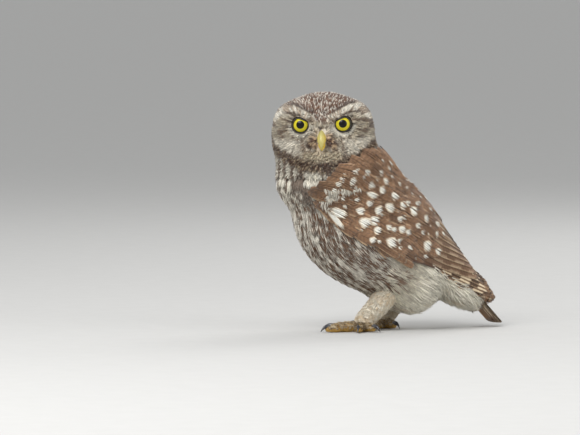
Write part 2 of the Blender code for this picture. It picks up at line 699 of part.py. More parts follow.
def make_tail():
    """A root slab with pairs of vanes: the middle pair on top, each further pair below and outside."""
    length = tail_length()
    depth = TAIL_STEP * TAIL_PAIRS
    s, w = np.meshgrid(np.linspace(0, TAIL_SLAB * length, 4), np.linspace(-1.0, 1.0, 5), indexing="ij")
    w = w * (5.0 + 3.0 * s / length)
    tail = add_mesh("tail", *sheet_solid(tail_sheet(s, w, -0.33, 0.27 - depth)), "coat_brown")
    vanes = []
    for k in range(TAIL_PAIRS):
        for side in (1, -1):
            offset = -side * (TAIL_SPREAD[0] + (TAIL_SPREAD[1] - TAIL_SPREAD[0]) * np.array([0.0, 1.0]))
            places = offset * (k + 0.5)
            end = length - 0.25 * k * k / 2
            u, v, along, across = vane_grid((2.0, places[0]), (end, places[1]), TAIL_HALF_VANE)
            top = -TAIL_STEP * k - 0.16 * (side > 0) - 0.15 * across ** 2
            bottom = top - TAIL_THICK + 0.1 * along
            vanes.append(add_mesh("rectrix", *sheet_solid(tail_sheet(u, v, top, bottom)), "coat_brown"))
    return fuse(tail, vanes)


def tail_room(top, side_room):
    """A block round the tail, for clearing its neighbours from it."""
    s, w = np.meshgrid(np.linspace(-GAP, tail_length() + 4, 7), np.linspace(-1, 1, 7), indexing="ij")
    half = TAIL_HALF_VANE + TAIL_SPREAD[1] * TAIL_PAIRS + side_room
    bottom = -TAIL_STEP * TAIL_PAIRS - 0.9
    return add_mesh("room", *sheet_solid(tail_sheet(s, w * half, np.full(s.shape, top), bottom)), "lid")


def grown(obj, by=GAP):
    """A copy of a closed mesh moved outwards along its normals, for cutting a gap."""
    copy = bpy.data.objects.new("room", obj.data.copy())
    bpy.context.scene.collection.objects.link(copy)
    normals = [v.normal.copy() for v in copy.data.vertices]
    for vertex, normal in zip(copy.data.vertices, normals):
        vertex.co += normal * (by * MM)
    return copy


def smooth_path(points, radii, steps):
    t = np.linspace(0, 1, steps)
    path, _ = along_curve(points, t)
    return path, np.interp(t, np.linspace(0, 1, len(radii)), radii)


def on_floor(rings):
    """Flattens a shape where it meets the floor."""
    rings = rings.copy()
    rings[..., 2] = np.maximum(rings[..., 2], FLOOR)
    return rings


def make_leg(side, name, torso):
    points = np.array([p for p, _ in LEGS[side]])
    radii = np.array([r for _, r in LEGS[side]])
    path, radius = smooth_path(points, radii, 12)
    split = int(len(path) * KNEE_SHARE) + 1
    thigh = add_mesh("thigh_" + name, *rings_solid(tube_rings(path[:split], radius[:split], 18)),
                     "coat_pale")
    way = path[split] - path[split - 1]
    start = path[split - 1] + way / np.linalg.norm(way) * GAP
    lower = np.concatenate([[start], path[split:]])
    thick = np.concatenate([[radius[split - 1]], radius[split:]])
    tarsus = add_mesh("tarsus_" + name, *rings_solid(tube_rings(lower, thick, 16)), "coat_pale")
    cut(thigh, grown(torso))
    cut(tarsus, grown(torso))
    cut(tarsus, grown(thigh))
    centre = np.array([points[-1][0] - 1.0, points[-1][1], FLOOR + 3.1])
    rings, poles = ball(centre, FOOT_HALF, np.eye(3), 7, 16)
    foot = add_mesh("foot_" + name, *rings_solid(on_floor(rings), start=on_floor(poles)[0],
                                                 end=poles[1]), "toe")
    cut(tarsus, grown(foot))
    built = []
    for number, bearing, length in TOES[side]:
        built.append(make_toe(name, number, bearing, length, centre, [foot] + [t for t, _ in built]))
        cut(tarsus, grown(built[-1][0]))
    for toe, claw in built:
        for other, _ in built:
            cut(claw, grown(other))


def make_toe(name, number, bearing, length, centre, neighbours):
    """A toe with its pads flat on the floor, and its claw."""
    a = math.radians(180 + bearing)
    way = np.array([math.cos(a), math.sin(a), 0.0])
    t = np.linspace(0, 1, len(TOE_SWELL))
    radii = TOE_RADIUS * np.array(TOE_SWELL) * (1 - 0.10 * t) * (0.86 + 0.14 * length / 20)
    rise = 0.8 * np.sin(math.pi * np.minimum(t * 1.1, 1))
    path = centre + way * (2.0 + length * t[:, None])
    path[:, 2] = FLOOR + 2.5 + rise
    rings = on_floor(tube_rings(path, radii, 9, flat=0.98))
    tip = path[-1] + way * 1.0
    toe = add_mesh(f"toe_{name}_{number}", *rings_solid(rings, end=tip), "toe")
    for other in neighbours:
        cut(toe, grown(other))
    claw_t = np.linspace(0, 1, 6)
    bend = claw_t[:, None] * CLAW_LENGTH
    line = path[-2] + way * bend * (1 - 0.12 * claw_t[:, None])
    line[:, 2] = FLOOR + 3.7 + 1.4 * np.sin(math.pi * claw_t * 0.75) - 4.0 * claw_t ** 2
    size = CLAW_RADIUS * np.array([1.0, 1.0, 0.9, 0.68, 0.42, 0.16])
    claw = add_mesh(f"claw_{name}_{number}", *rings_solid(tube_rings(line, size, 6, flat=1.15)), "claw")
    return toe, claw


def settle():
    """Moves everything so that the floor is z = 0 and the middle of the box is over the origin."""
    parts = list(bpy.data.objects)
    corners = np.array([v.co for part in parts for v in part.data.vertices])
    low, high = corners.min(0), corners.max(0)
    middle = (low + high) / 2
    for part in parts:
        part.data.transform(Matrix.Translation((-middle[0], -middle[1], -low[2])))


def clear_scene():
    for obj in list(bpy.data.objects):
        bpy.data.objects.remove(obj)


def main():
    clear_scene()
    torso = make_torso()
    neck = make_neck()
    head = make_head()
    make_eyes(head)
    make_bill(head)
    cut(torso, tail_room(60.0, 60.0))
    make_tail()
    for side, name in ((1, "left"), (-1, "right")):
        wing = make_wing(side, "wing_" + name)
        cut(wing, tail_room(1.0, 0.6))
        for other in (torso, neck, head):
            cut(wing, grown(other))
        make_leg(side, name, torso)
    settle()


main()
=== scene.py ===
"""A little owl on both feet with its head turned to its left, dressed feather by feather over a fixed frame.

Lengths in this file are millimetres unless a property says otherwise. The owl faces -X, its left
side is -Y and +Z is up. Shapes are worked out with the floor at z = FLOOR and moved onto the frame
when a mesh is made.
"""
import math

import bpy
import numpy as np
from bpy.props import FloatProperty, FloatVectorProperty, IntProperty, PointerProperty
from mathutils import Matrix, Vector


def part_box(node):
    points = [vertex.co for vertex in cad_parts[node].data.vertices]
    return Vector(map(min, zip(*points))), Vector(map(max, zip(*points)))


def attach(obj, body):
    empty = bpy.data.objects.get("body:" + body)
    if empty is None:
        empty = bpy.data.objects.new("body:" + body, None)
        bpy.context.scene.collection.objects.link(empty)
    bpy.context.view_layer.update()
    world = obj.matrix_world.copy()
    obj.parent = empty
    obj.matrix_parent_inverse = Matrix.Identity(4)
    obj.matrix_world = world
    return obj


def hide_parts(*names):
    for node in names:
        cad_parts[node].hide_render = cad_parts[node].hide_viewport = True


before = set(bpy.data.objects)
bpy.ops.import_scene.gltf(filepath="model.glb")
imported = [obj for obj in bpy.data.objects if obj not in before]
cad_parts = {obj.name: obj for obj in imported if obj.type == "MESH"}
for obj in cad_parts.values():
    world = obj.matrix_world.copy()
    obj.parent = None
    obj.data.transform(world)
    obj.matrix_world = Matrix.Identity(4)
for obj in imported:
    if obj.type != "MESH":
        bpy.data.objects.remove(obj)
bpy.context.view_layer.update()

bl_info = {
    "name": "Little owl",
    "version": (1, 0, 0),
    "blender": (4, 5, 0),
    "location": "3D View > Sidebar > Owl",
    "description": "Skin, feathers, eyes, bill, legs and feet of a standing little owl",
    "category": "Object",
}

MM = 0.001
FLOOR = 4.0
SEED = 7

HEAD_CENTRE = np.array([-27.4, 0.0, 138.9])
HEAD_HALF_WIDTH = 35.3
HEAD_FRONT = 25.5
HEAD_BACK = 30.0
HEAD_TOP = 29.8
HEAD_BOTTOM = 39.9
HEAD_TURN_DEG = 65.0
HEAD_ROLL_DEG = 1.5
EYE_ACROSS = 14.1
EYE_UP = 8.0
EYE_RADIUS = 7.4
EYE_FORWARD = 14.2
EYE_SPLAY_DEG = 4.0
EYE_BED = 1.1
PUPIL_UP = 0.055
LID_HEIGHT = 3.9
LID_SLOPE = 0.40
LID_OPENING = 4.95
BILL_TOP = 4.6
BILL_LENGTH = 15.0
BILL_WIDTH = 9.0

TRUNK = {
    "chest": ((5.6, 72.8), 27.1, (55.5, 39.9, 38.2)),
    "belly": ((30.2, 44.2), 48.3, (29.7, 26.3, 29.6)),
    "vent": ((63.7, 32.4), 28.7, (27.7, 6.7, 14.9)),
    "neck": ((-19.7, 110.6), 84.7, (29.8, 40.3, 36.6)),
}
TRUNK_BLEND = 9.0
WEDGE_LINE = np.array([(3.3, 92.0), (96.2, 24.5)])
WEDGE_DEPTH = (29.1, 1.8)
WEDGE_WIDTH = (37.3, 4.1)
WEDGE_SWELL = 1.25
WEDGE_BLEND = 8.0
HEAD_BLEND = 7.0

WING_LINE = ((-36.0, 92.0), (101.0, 26.0))
WING_ROUND = ((0.0, 40.0, 90.0, 130.0, 152.0), (34.0, 37.0, 27.0, 13.0, 9.0))
WING_BLADE = ((0.0, 95.0, 125.0, 152.0), (0.0, 8.0, 5.5, 3.2))
WING_BLADE_HIGH = ((0.0, 95.0, 125.0, 152.0), (0.0, 14.0, 7.0, 2.2))
WING_SLIDE = {1: 0.0, -1: 4.0}
WING_GAP = 0.32

BODY_LINE = [(76.0, 26.5), (62.0, 37.0), (36.0, 52.0), (6.0, 76.0), (-17.0, 101.0),
             (-27.0, 121.0), (-29.4, 136.0), (-29.4, 142.0)]

TAIL_ROOT = (57.0, 60.5)
TAIL_TIP = (106.8, 6.9)
TAIL_DROOP = 0.022

LEGS = {
    1: (((25.5, -12.5, 45.0), 9.5), ((12.5, -12.5, 26.5), 7.8), ((3.6, -12.5, 17.0), 6.7),
        ((-3.6, -12.5, 10.0), 5.8)),
    -1: (((40.0, 12.5, 42.0), 9.0), ((33.2, 12.5, 24.0), 6.4), ((28.2, 12.5, 16.0), 5.4),
         ((24.0, 12.5, 10.0), 4.9)),
}
FOOT_HALF = (6.4, 5.6, 4.6)
TOE_SWELL = (1.3, 1.14, 1.12, 0.96, 1.0, 0.88, 0.6)
TOE_RADIUS = 3.1
TOES = {
    1: ((1, 108.0, 12.0), (2, -24.0, 19.0), (3, 7.0, 25.0), (4, 62.0, 15.5)),
    -1: ((1, 100.0, 12.0), (2, 40.0, 15.0), (3, -6.0, 20.0), (4, -80.0, 15.0)),
}
CLAW_LENGTH = 9.2
CLAW_RADIUS = 1.35
SIDES = {1: "left", -1: "right"}
FLOOR_RADIUS = 60.0


def rgb(red, green, blue):
    """A colour given as it looks on a screen, 0 to 255, as scene-linear values."""
    c = np.array([red, green, blue]) / 255
    return np.where(c < 0.04045, c / 12.92, ((c + 0.055) / 1.055) ** 2.4)


WHITE = rgb(236, 230, 216)
CREAM = rgb(226, 214, 184)
GREY_WHITE = rgb(205, 200, 184)
BROWN = rgb(128, 92, 66)
WARM_BROWN = rgb(146, 106, 76)
DARK_BROWN = rgb(78, 52, 36)


def turn_matrix(degrees, axis):
    a = math.radians(degrees)
    x, y, z = axis
    k = np.array([[0, -z, y], [z, 0, -x], [-y, x, 0]], float)
    return np.eye(3) + math.sin(a) * k + (1 - math.cos(a)) * (k @ k)


def head_axes():
    """Rows: the head's left, its forward and its up."""
    forward = turn_matrix(HEAD_TURN_DEG, (0, 0, 1)) @ np.array([-1.0, 0.0, 0.0])
    left = np.cross([0, 0, 1.0], forward)
    roll = turn_matrix(HEAD_ROLL_DEG, forward)
    return np.array([roll @ left, forward, roll @ np.array([0, 0, 1.0])])


HEAD_AXES = head_axes()


def to_head(p):
    return (p - HEAD_CENTRE) @ HEAD_AXES.T


def from_head(q):
    return np.asarray(q, float) @ HEAD_AXES + HEAD_CENTRE


def slope_axes(degrees):
    a = math.radians(degrees)
    return np.array([[-math.cos(a), 0, math.sin(a)], [math.sin(a), 0, math.cos(a)], [0, -1, 0]])


def smooth(low, high, x):
    """0 below low, 1 above high, and the cubic 3t^2 - 2t^3 between."""
    t = np.clip((x - low) / (high - low), 0, 1)
    return t * t * (3 - 2 * t)


def unit(v):
    return v / np.maximum(np.linalg.norm(v, axis=-1, keepdims=True), 1e-9)


def ellipsoid(q, half):
    """About the distance from an ellipsoid: k0 (k0 - 1) / k1, with k0 the length of q / half and k1
    the length of q / half squared."""
    half = np.asarray(half, float)
    k0 = np.linalg.norm(q / half, axis=-1)
    k1 = np.linalg.norm(q / half ** 2, axis=-1)
    return k0 * (k0 - 1) / np.maximum(k1, 1e-9)


def blend(a, b, width):
    """The smaller of two distances, rounded off by width h (1 - h) where they are close."""
    h = np.clip(0.5 + 0.5 * (b - a) / width, 0, 1)
    return b * (1 - h) + a * h - width * h * (1 - h)


def bump(across, up, at, spread):
    return np.exp(-((across - at[0]) / spread[0]) ** 2 - ((up - at[1]) / spread[1]) ** 2)


def face_relief(q):
    across, forward, up = np.abs(q[..., 0]), q[..., 1], q[..., 2]
    hollow = -3.6 * bump(across, up, (EYE_ACROSS + 1.0, EYE_UP - 1.0), (8.5, 8.0))
    brow = 2.6 * bump(across, up - 0.32 * across, (12.0, 10.5), (13.0, 4.0))
    middle = 3.2 * bump(across, up, (0.0, 1.0), (4.5, 9.0))
    cheek = 1.6 * bump(across, up, (24.0, -9.0), (12.0, 8.0))
    corner = 2.2 * bump(across, up, (28.0, 17.0), (9.0, 9.0))
    return (hollow + brow + middle + cheek) * np.clip(forward / 14.0, 0, 1) + corner


def head_field(p):
    """Distance from the head: an ellipsoid with its own half axes front and back, above and below,
    raised by the face's relief and blended with a bed round each eye."""
    q = to_head(p)
    depth = np.where(q[..., 1:2] > 0, HEAD_FRONT, HEAD_BACK)
    height = np.where(q[..., 2:3] > 0, HEAD_TOP, HEAD_BOTTOM)
    half = np.concatenate([np.full_like(depth, HEAD_HALF_WIDTH), depth, height], -1)
    found = ellipsoid(q, half) - face_relief(q)
    for side in (1, -1):
        bed = np.linalg.norm(q - np.array([side * EYE_ACROSS, EYE_FORWARD, EYE_UP]), axis=-1)
        found = blend(found, bed - EYE_RADIUS - EYE_BED, 3.0)
    return found


def trunk_field(p):
    found = None
    for (x, z), tilt, half in TRUNK.values():
        d = ellipsoid((p - np.array([x, 0, z])) @ slope_axes(tilt).T, half)
        found = d if found is None else blend(found, d, TRUNK_BLEND)
    return found


def wedge_field(p):
    """Distance from an elliptic wedge whose half depth and half width shrink along its axis."""
    start = np.array([WEDGE_LINE[0, 0], 0, WEDGE_LINE[0, 1]])
    end = np.array([WEDGE_LINE[1, 0], 0, WEDGE_LINE[1, 1]])
    length = np.linalg.norm(end - start)
    way = (end - start) / length
    dorsal = np.array([-way[2], 0, way[0]])
    q = p - start
    s = q @ way
    t = np.clip(s / length, 0, 1)
    depth = WEDGE_DEPTH[0] + (WEDGE_DEPTH[1] - WEDGE_DEPTH[0]) * t
    width = WEDGE_WIDTH[0] + (WEDGE_WIDTH[1] - WEDGE_WIDTH[0]) * t ** WEDGE_SWELL
    beyond = (s - t * length) / (0.5 * (depth + width))
    half = np.stack([depth, width], -1)
    flat = np.stack([q @ dorsal, q[..., 1]], -1)
    k0 = np.sqrt((flat / half) ** 2 @ np.ones(2) + beyond ** 2)
    k1 = np.sqrt((flat / half ** 2) ** 2 @ np.ones(2) + (beyond / half.mean(-1)) ** 2)
    return k0 * (k0 - 1) / np.maximum(k1, 1e-9)


def wing_guide(p):
    return blend(trunk_field(p), wedge_field(p), WEDGE_BLEND)


def body_field(p):
    """About the distance from the outside of the whole coat without wings, legs and tail."""
    return blend(wing_guide(p), head_field(p), HEAD_BLEND)


def outward(field, p, step=0.6):
    """The unit gradient of a field, from central differences."""
    slope = [field(p + e) - field(p - e) for e in np.eye(3) * step]
    return unit(np.stack(slope, -1))


def reach(field, origin, direction, level=0.0, far=90.0):
    """How far along each ray the field first passes level, by halving the interval."""
    low = np.zeros(direction.shape[:-1])
    high = np.full(direction.shape[:-1], far)
    for _ in range(18):
        middle = (low + high) / 2
        inside = field(origin + direction * middle[..., None]) < level
        low = np.where(inside, middle, low)
        high = np.where(inside, high, middle)
    return (low + high) / 2


def along_curve(points, t):
    """A smooth curve through points (Catmull-Rom), read at t from 0 to 1: places and directions."""
    pts = np.asarray(points, float)
    pts = np.vstack([2 * pts[0] - pts[1], pts, 2 * pts[-1] - pts[-2]])
    x = np.clip(np.asarray(t, float), 0, 1) * (len(points) - 1)
    i = np.minimum(x.astype(int), len(points) - 2)
    u = (x - i)[..., None]
    a, b, c, d = pts[i], pts[i + 1], pts[i + 2], pts[i + 3]
    place = 0.5 * (2 * b + (c - a) * u + (2 * a - 5 * b + 4 * c - d) * u ** 2
                   + (3 * b - a - 3 * c + d) * u ** 3)
    way = 0.5 * ((c - a) + 2 * (2 * a - 5 * b + 4 * c - d) * u
                 + 3 * (3 * b - a - 3 * c + d) * u ** 2)
    return place, way / np.linalg.norm(way, axis=-1, keepdims=True)


def shift_to_frame():
    """How far the shapes move so that the left foot lies where the frame has it."""
    low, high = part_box("foot_left")
    return np.array([(low.x + high.x) / 2 / MM - (LEGS[1][-1][0][0] - 1.0), 0.0, -FLOOR])


SHIFT = shift_to_frame()


def body_surface(level, rows, sides):
    """The coat's outside moved by level, as a grid: rays from the body's middle line meet the field,
    square to the line along it and swinging round its two ends. Row 0 is under the tail and the last
    row is the crown; column 0 is dorsal and the columns run round by the owl's left."""
    turn = np.linspace(0, 2 * math.pi, sides, endpoint=False)
    ends = rows // 6
    t = np.linspace(0, 1, rows - 2 * ends)
    place, way = along_curve(BODY_LINE, t)
    first = np.linspace(-0.49 * math.pi, 0, ends, endpoint=False)
    last = np.linspace(0, 0.49 * math.pi, ends + 1)[1:]
    place = np.concatenate([np.repeat(place[:1], ends, 0), place, np.repeat(place[-1:], ends, 0)])
    way = np.concatenate([np.repeat(way[:1], ends, 0), way, np.repeat(way[-1:], ends, 0)])
    swing = np.concatenate([first, np.zeros(len(t)), last])
    centre = np.stack([place[:, 0], np.zeros(rows), place[:, 1]], -1)
    axis = np.stack([way[:, 0], np.zeros(rows), way[:, 1]], -1)
    dorsal = np.stack([way[:, 1], np.zeros(rows), -way[:, 0]], -1)
    flat = np.cos(turn)[None, :, None] * dorsal[:, None] + np.sin(turn)[None, :, None] * [0, -1.0, 0]
    direction = np.cos(swing)[:, None, None] * flat + np.sin(swing)[:, None, None] * axis[:, None]
    origin = np.broadcast_to(centre[:, None], direction.shape)
    return origin + direction * reach(body_field, origin, direction, level)[..., None]


WING_START = np.array([WING_LINE[0][0], 0, WING_LINE[0][1]])
WING_WAY = unit(np.array([WING_LINE[1][0], 0, WING_LINE[1][1]]) - WING_START)
WING_DORSAL = np.array([-WING_WAY[2], 0, WING_WAY[0]])


def wing_ray(side, u, v):
    """Where the ray to a place on the wing starts, its direction and its turn from sideways."""
    turn = v / np.interp(u, *WING_ROUND)
    origin = WING_START + u[..., None] * WING_WAY
    out = np.stack([np.zeros_like(u), -side * np.ones_like(u), np.zeros_like(u)], -1)
    return origin, np.cos(turn)[..., None] * out + np.sin(turn)[..., None] * WING_DORSAL, turn


def wing_radius(u, v):
    origin, direction, turn = wing_ray(1, u, v)
    r = reach(wing_guide, origin, direction)
    wall = np.interp(u, *WING_BLADE) / np.maximum(np.cos(turn), 0.05)
    high = np.interp(u, *WING_BLADE_HIGH) / np.maximum(abs(np.sin(turn)), 0.05)
    return np.maximum(r, np.minimum(wall, high))


WING_U = np.linspace(-30, 170, 101)
WING_V = np.linspace(-34, 66, 101)
WING_TABLE = wing_radius(*np.meshgrid(WING_U, WING_V, indexing="ij"))


def look_up(table, x, y):
    """Bilinear reading of a table at fractional rows x and columns y."""
    i = np.clip(x.astype(int), 0, table.shape[0] - 2)
    j = np.clip(y.astype(int), 0, table.shape[1] - 2)
    a, b = x - i, y - j
    if table.ndim > 2:
        a, b = a[..., None], b[..., None]
    return ((1 - a) * ((1 - b) * table[i, j] + b * table[i, j + 1])
            + a * ((1 - b) * table[i + 1, j] + b * table[i + 1, j + 1]))


def wing_point(side, u, v, level):
    """A point over the closed wing: u along its axis and v round it, from the shoulder and the flank
    upwards, at a level above the surface that the wings lie on, and never past the middle plane."""
    u, v, level = np.broadcast_arrays(np.asarray(u, float), v, level)
    u = u + WING_SLIDE[side] * np.clip((u - 60.0) / 60.0, 0, 1)
    origin, direction, _ = wing_ray(side, u, v)
    r = look_up(WING_TABLE, np.clip((u - WING_U[0]) / 2.0, 0, 99.9), np.clip(v - WING_V[0], 0, 99.9))
    place = origin + direction * (r + level)[..., None]
    place[..., 1] = -side * np.maximum(-side * place[..., 1], WING_GAP)
    return place


def wing_place(p, side):
    """The wing's own u and v of a point near it: the reverse of wing_point."""
    q = p - WING_START
    u = q @ WING_WAY
    across = -side * q[..., 1]
    turn = np.arctan2(q @ WING_DORSAL, across)
    return u - WING_SLIDE[side] * np.clip((u - 60.0) / 60.0, 0, 1), turn * np.interp(u, *WING_ROUND)


TAIL_WAY = unit(np.array([TAIL_TIP[0] - TAIL_ROOT[0], 0, TAIL_TIP[1] - TAIL_ROOT[1]]))
TAIL_DORSAL = np.array([-TAIL_WAY[2], 0, TAIL_WAY[0]])
TAIL_LENGTH = math.hypot(TAIL_TIP[0] - TAIL_ROOT[0], TAIL_TIP[1] - TAIL_ROOT[1])


def tail_point(s, w, level):
    """A point over the tail: s along it, w across it, and a level above it that droops with w squared."""
    root = np.array([TAIL_ROOT[0], 0, TAIL_ROOT[1]])
    s, w, level = np.broadcast_arrays(np.asarray(s, float), w, level)
    across = np.stack([np.zeros_like(w), w, np.zeros_like(w)], -1)
    return root + s[..., None] * TAIL_WAY + across + (level - TAIL_DROOP * w ** 2)[..., None] * TAIL_DORSAL


def lattice(cell, seed):
    """A repeatable number from 0 to 1 for each whole-number cell, by mixing its bits."""
    cell = cell.astype(np.int64).astype(np.uint32)
    primes = np.array([374761393, 668265263, 974634523], np.uint32)
    h = (cell * primes).sum(-1, dtype=np.uint32) + np.uint32(seed * 40503 + 977)
    h = (h ^ (h >> np.uint32(13))) * np.uint32(1274126177)
    h = (h ^ (h >> np.uint32(16))) * np.uint32(2246822519)
    return (h ^ (h >> np.uint32(15))) / 2.0 ** 32


def noise(p, size, seed):
    """Smooth value noise from 0 to 1 with cells of a size, blended between its eight corners."""
    q = np.asarray(p, float) / size
    cell = np.floor(q)
    f = q - cell
    f = f * f * (3 - 2 * f)
    total = 0
    for corner in np.ndindex(2, 2, 2):
        c = np.array(corner)
        share = np.where(c > 0, f, 1 - f).prod(-1)
        total = total + share * lattice(cell + c, seed)
    return total


def mix(a, b, share):
    """A blend of two colours by a share from 0 to 1."""
    share = np.clip(share, 0, 1)[..., None]
    return a * (1 - share) + b * share


def band(x, middle, half, soft):
    """1 near middle and 0 further from it than half, with soft edges."""
    return 1 - smooth(half - soft, half + soft, np.abs(x - middle))


def add_piece(name, points, faces, material, slot, uvs=None, colours=None, extra=None, replaces=()):
    """Puts points in millimetres and faces (arrays of one width, or several) into a mesh on the frame.
    uvs and colours are per point; extra holds further per-point vectors."""
    faces = faces if isinstance(faces, (list, tuple)) else [faces]
    mesh = bpy.data.meshes.new(name)
    points = (np.asarray(points, float).reshape(-1, 3) + SHIFT) * MM
    corners = np.concatenate([f.ravel() for f in faces]).astype(np.int32)
    sizes = np.concatenate([np.full(len(f), f.shape[1]) for f in faces]).astype(np.int32)
    mesh.vertices.add(len(points))
    mesh.vertices.foreach_set("co", points.astype(np.float32).ravel())
    mesh.loops.add(len(corners))
    mesh.loops.foreach_set("vertex_index", corners)
    mesh.polygons.add(len(sizes))
    mesh.polygons.foreach_set("loop_start", np.concatenate([[0], np.cumsum(sizes)[:-1]]).astype(np.int32))
    mesh.update(calc_edges=True)
    mesh.polygons.foreach_set("use_smooth", np.ones(len(sizes), bool))
    for title, places in (uvs or {}).items():
        layer = mesh.uv_layers.new(name=title)
        layer.data.foreach_set("uv", np.asarray(places, np.float32).reshape(-1, 2)[corners].ravel())
    if colours is not None:
        layer = mesh.color_attributes.new("coat_colour", "FLOAT_COLOR", "POINT")
        rgba = np.concatenate([colours.reshape(-1, 3), np.ones((len(points), 1))], 1)
        layer.data.foreach_set("color", rgba.astype(np.float32).ravel())
    for title, vectors in (extra or {}).items():
        layer = mesh.attributes.new(title, "FLOAT_VECTOR", "POINT")
        layer.data.foreach_set("vector", np.asarray(vectors, np.float32).reshape(-1, 3).ravel())
    mesh.validate()
    obj = bpy.data.objects.new(name, mesh)
    bpy.context.scene.collection.objects.link(obj)
    obj.data.materials.append(material)
    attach(obj, "root")
    if replaces:
        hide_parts(*replaces)
    return obj


def grid_faces(rows, columns, wrap):
    """Quads of a grid, outwards where the columns turn anticlockwise about the way of the rows."""
    index = np.arange(rows * columns).reshape(rows, columns)
    if wrap:
        index = np.concatenate([index, index[:, :1]], 1)
    a, b = index[:-1, :-1], index[:-1, 1:]
    c, d = index[1:, 1:], index[1:, :-1]
    return np.stack([a, b, c, d], -1).reshape(-1, 4)


def tube_faces(rows, columns):
    """Faces of a closed tube of rings whose first and last point are the poles after the rings."""
    index = np.arange(rows * columns).reshape(rows, columns)
    start, end = rows * columns, rows * columns + 1
    turn = np.roll(np.arange(columns), -1)
    first = np.stack([index[0][turn], index[0], np.full(columns, start)], -1)
    last = np.stack([index[-1], index[-1][turn], np.full(columns, end)], -1)
    return [grid_faces(rows, columns, True), np.concatenate([first, last])]


def add_tube(name, rings, material, slot, start=None, end=None, replaces=(), **data):
    """A closed tube through rings, with its two ends drawn together at points."""
    start = rings[0].mean(0) if start is None else start
    end = rings[-1].mean(0) if end is None else end
    points = np.concatenate([rings.reshape(-1, 3), [start], [end]])
    return add_piece(name, points, tube_faces(*rings.shape[:2]), material, slot, replaces=replaces, **data)


def sweep(path, across_half, high_half, sides, up=(0, 0, 1.0)):
    """Elliptic rings square to a path; high_half is measured nearest to up."""
    path = np.asarray(path, float)
    way = unit(np.gradient(path, axis=0))
    across = unit(np.cross(way, up))
    high = np.cross(across, way)
    turn = np.linspace(0, 2 * math.pi, sides, endpoint=False)
    a = np.asarray(across_half, float)[:, None, None] * across[:, None]
    h = np.asarray(high_half, float)[:, None, None] * high[:, None]
    return path[:, None] + np.cos(turn)[None, :, None] * a - np.sin(turn)[None, :, None] * h


class Number:
    """A socket that holds a number and takes part in Python sums: each operator adds a Math node."""

    def __init__(self, finish, socket):
        self.finish = finish
        self.socket = socket

    def math(self, operation, *values, clamp=False):
        found = self.finish.node("ShaderNodeMath", {"operation": operation, "use_clamp": clamp},
                                 dict(enumerate((self,) + values)))
        return found["Value"]

    def __add__(self, other):
        return self.math("ADD", other)

    def __mul__(self, other):
        return self.math("MULTIPLY", other)

    def __sub__(self, other):
        return self.math("SUBTRACT", other)

    def __truediv__(self, other):
        return self.math("DIVIDE", other)

    def __rsub__(self, other):
        return (self * -1.0) + other

    __radd__ = __add__
    __rmul__ = __mul__

    def clamp(self):
        return self.math("ADD", 0.0, clamp=True)

    def rises(self, low, high):
        """0 below low, 1 above high, straight between."""
        return ((self - low) / (high - low)).clamp()


class Finish:
    """A material in the making."""

    def __init__(self, name):
        self.material = bpy.data.materials.new(name)
        self.material.use_nodes = True
        self.tree = self.material.node_tree
        self.tree.nodes.clear()

    def node(self, kind, settings=None, inputs=None):
        """Adds a node, sets its settings, fills its inputs, and returns its outputs by name."""
        node = self.tree.nodes.new(kind)
        for key, value in (settings or {}).items():
            if key == "stops":
                self.set_stops(node.color_ramp, value)
            else:
                setattr(node, key, value)
        for key, value in (inputs or {}).items():
            self.feed(node.inputs[key], value)
        return {out.name: Number(self, out) for out in node.outputs if out.enabled}

    def feed(self, socket, value):
        if isinstance(value, Number):
            self.tree.links.new(value.socket, socket)
        elif np.ndim(value) and socket.type == "RGBA":
            socket.default_value = (*value, 1.0)[:4]
        else:
            socket.default_value = value

    def set_stops(self, ramp, stops):
        while len(ramp.elements) < len(stops):
            ramp.elements.new(0.5)
        for element, (at, colour) in zip(ramp.elements, stops):
            element.position = at
            element.color = (*colour, 1.0)

    def blend(self, share, a, b, kind="MIX"):
        """Colour a where share is 0 and colour b where it is 1."""
        node = self.tree.nodes.new("ShaderNodeMix")
        node.data_type = "RGBA"
        node.blend_type = kind
        for socket, value in ((node.inputs[0], share), (node.inputs[6], a), (node.inputs[7], b)):
            self.feed(socket, value)
        return Number(self, node.outputs[2])

    def noise(self, where, scale, detail=2.0, roughness=0.5):
        return self.node("ShaderNodeTexNoise", {}, {"Vector": where, "Scale": scale, "Detail": detail,
                                                    "Roughness": roughness})["Fac"]

    def object_place(self):
        return self.node("ShaderNodeTexCoord")["Object"]

    def attribute(self, name, out="Color"):
        return self.node("ShaderNodeAttribute", {"attribute_name": name})[out]

    def parts(self, vector):
        found = self.node("ShaderNodeSeparateXYZ", {}, {"Vector": vector})
        return found["X"], found["Y"], found["Z"]

    def bump(self, height, strength, distance):
        return self.node("ShaderNodeBump", {}, {"Height": height, "Strength": strength,
                                                "Distance": distance})["Normal"]

    def surface(self, **inputs):
        """The Principled shader with these inputs, named with underscores for spaces."""
        shader = self.node("ShaderNodeBsdfPrincipled", {},
                           {key.replace("_", " "): value for key, value in inputs.items()})
        self.node("ShaderNodeOutputMaterial", {}, {"Surface": shader["BSDF"]})
        return self.material


def plumage_finish(name, roughness, sheen):
    """The coat's colours from the mesh, broken up by fine noise, over a soft rough bump."""
    f = Finish(name)
    where = f.object_place()
    grain = f.noise(where, 900.0, 3.0, 0.6)
    shade = f.blend(1.0, f.attribute("coat_colour"), f.node("ShaderNodeValToRGB", {
        "stops": ((0.25, (0.72, 0.70, 0.68)), (0.75, (1.12, 1.12, 1.12)))}, {"Fac": grain})["Color"],
        "MULTIPLY")
    return f.surface(Base_Color=shade, Roughness=roughness, Specular_IOR_Level=0.25, Sheen_Weight=sheen,
                     Sheen_Roughness=0.5, Normal=f.bump(grain, 0.5, 0.0004))


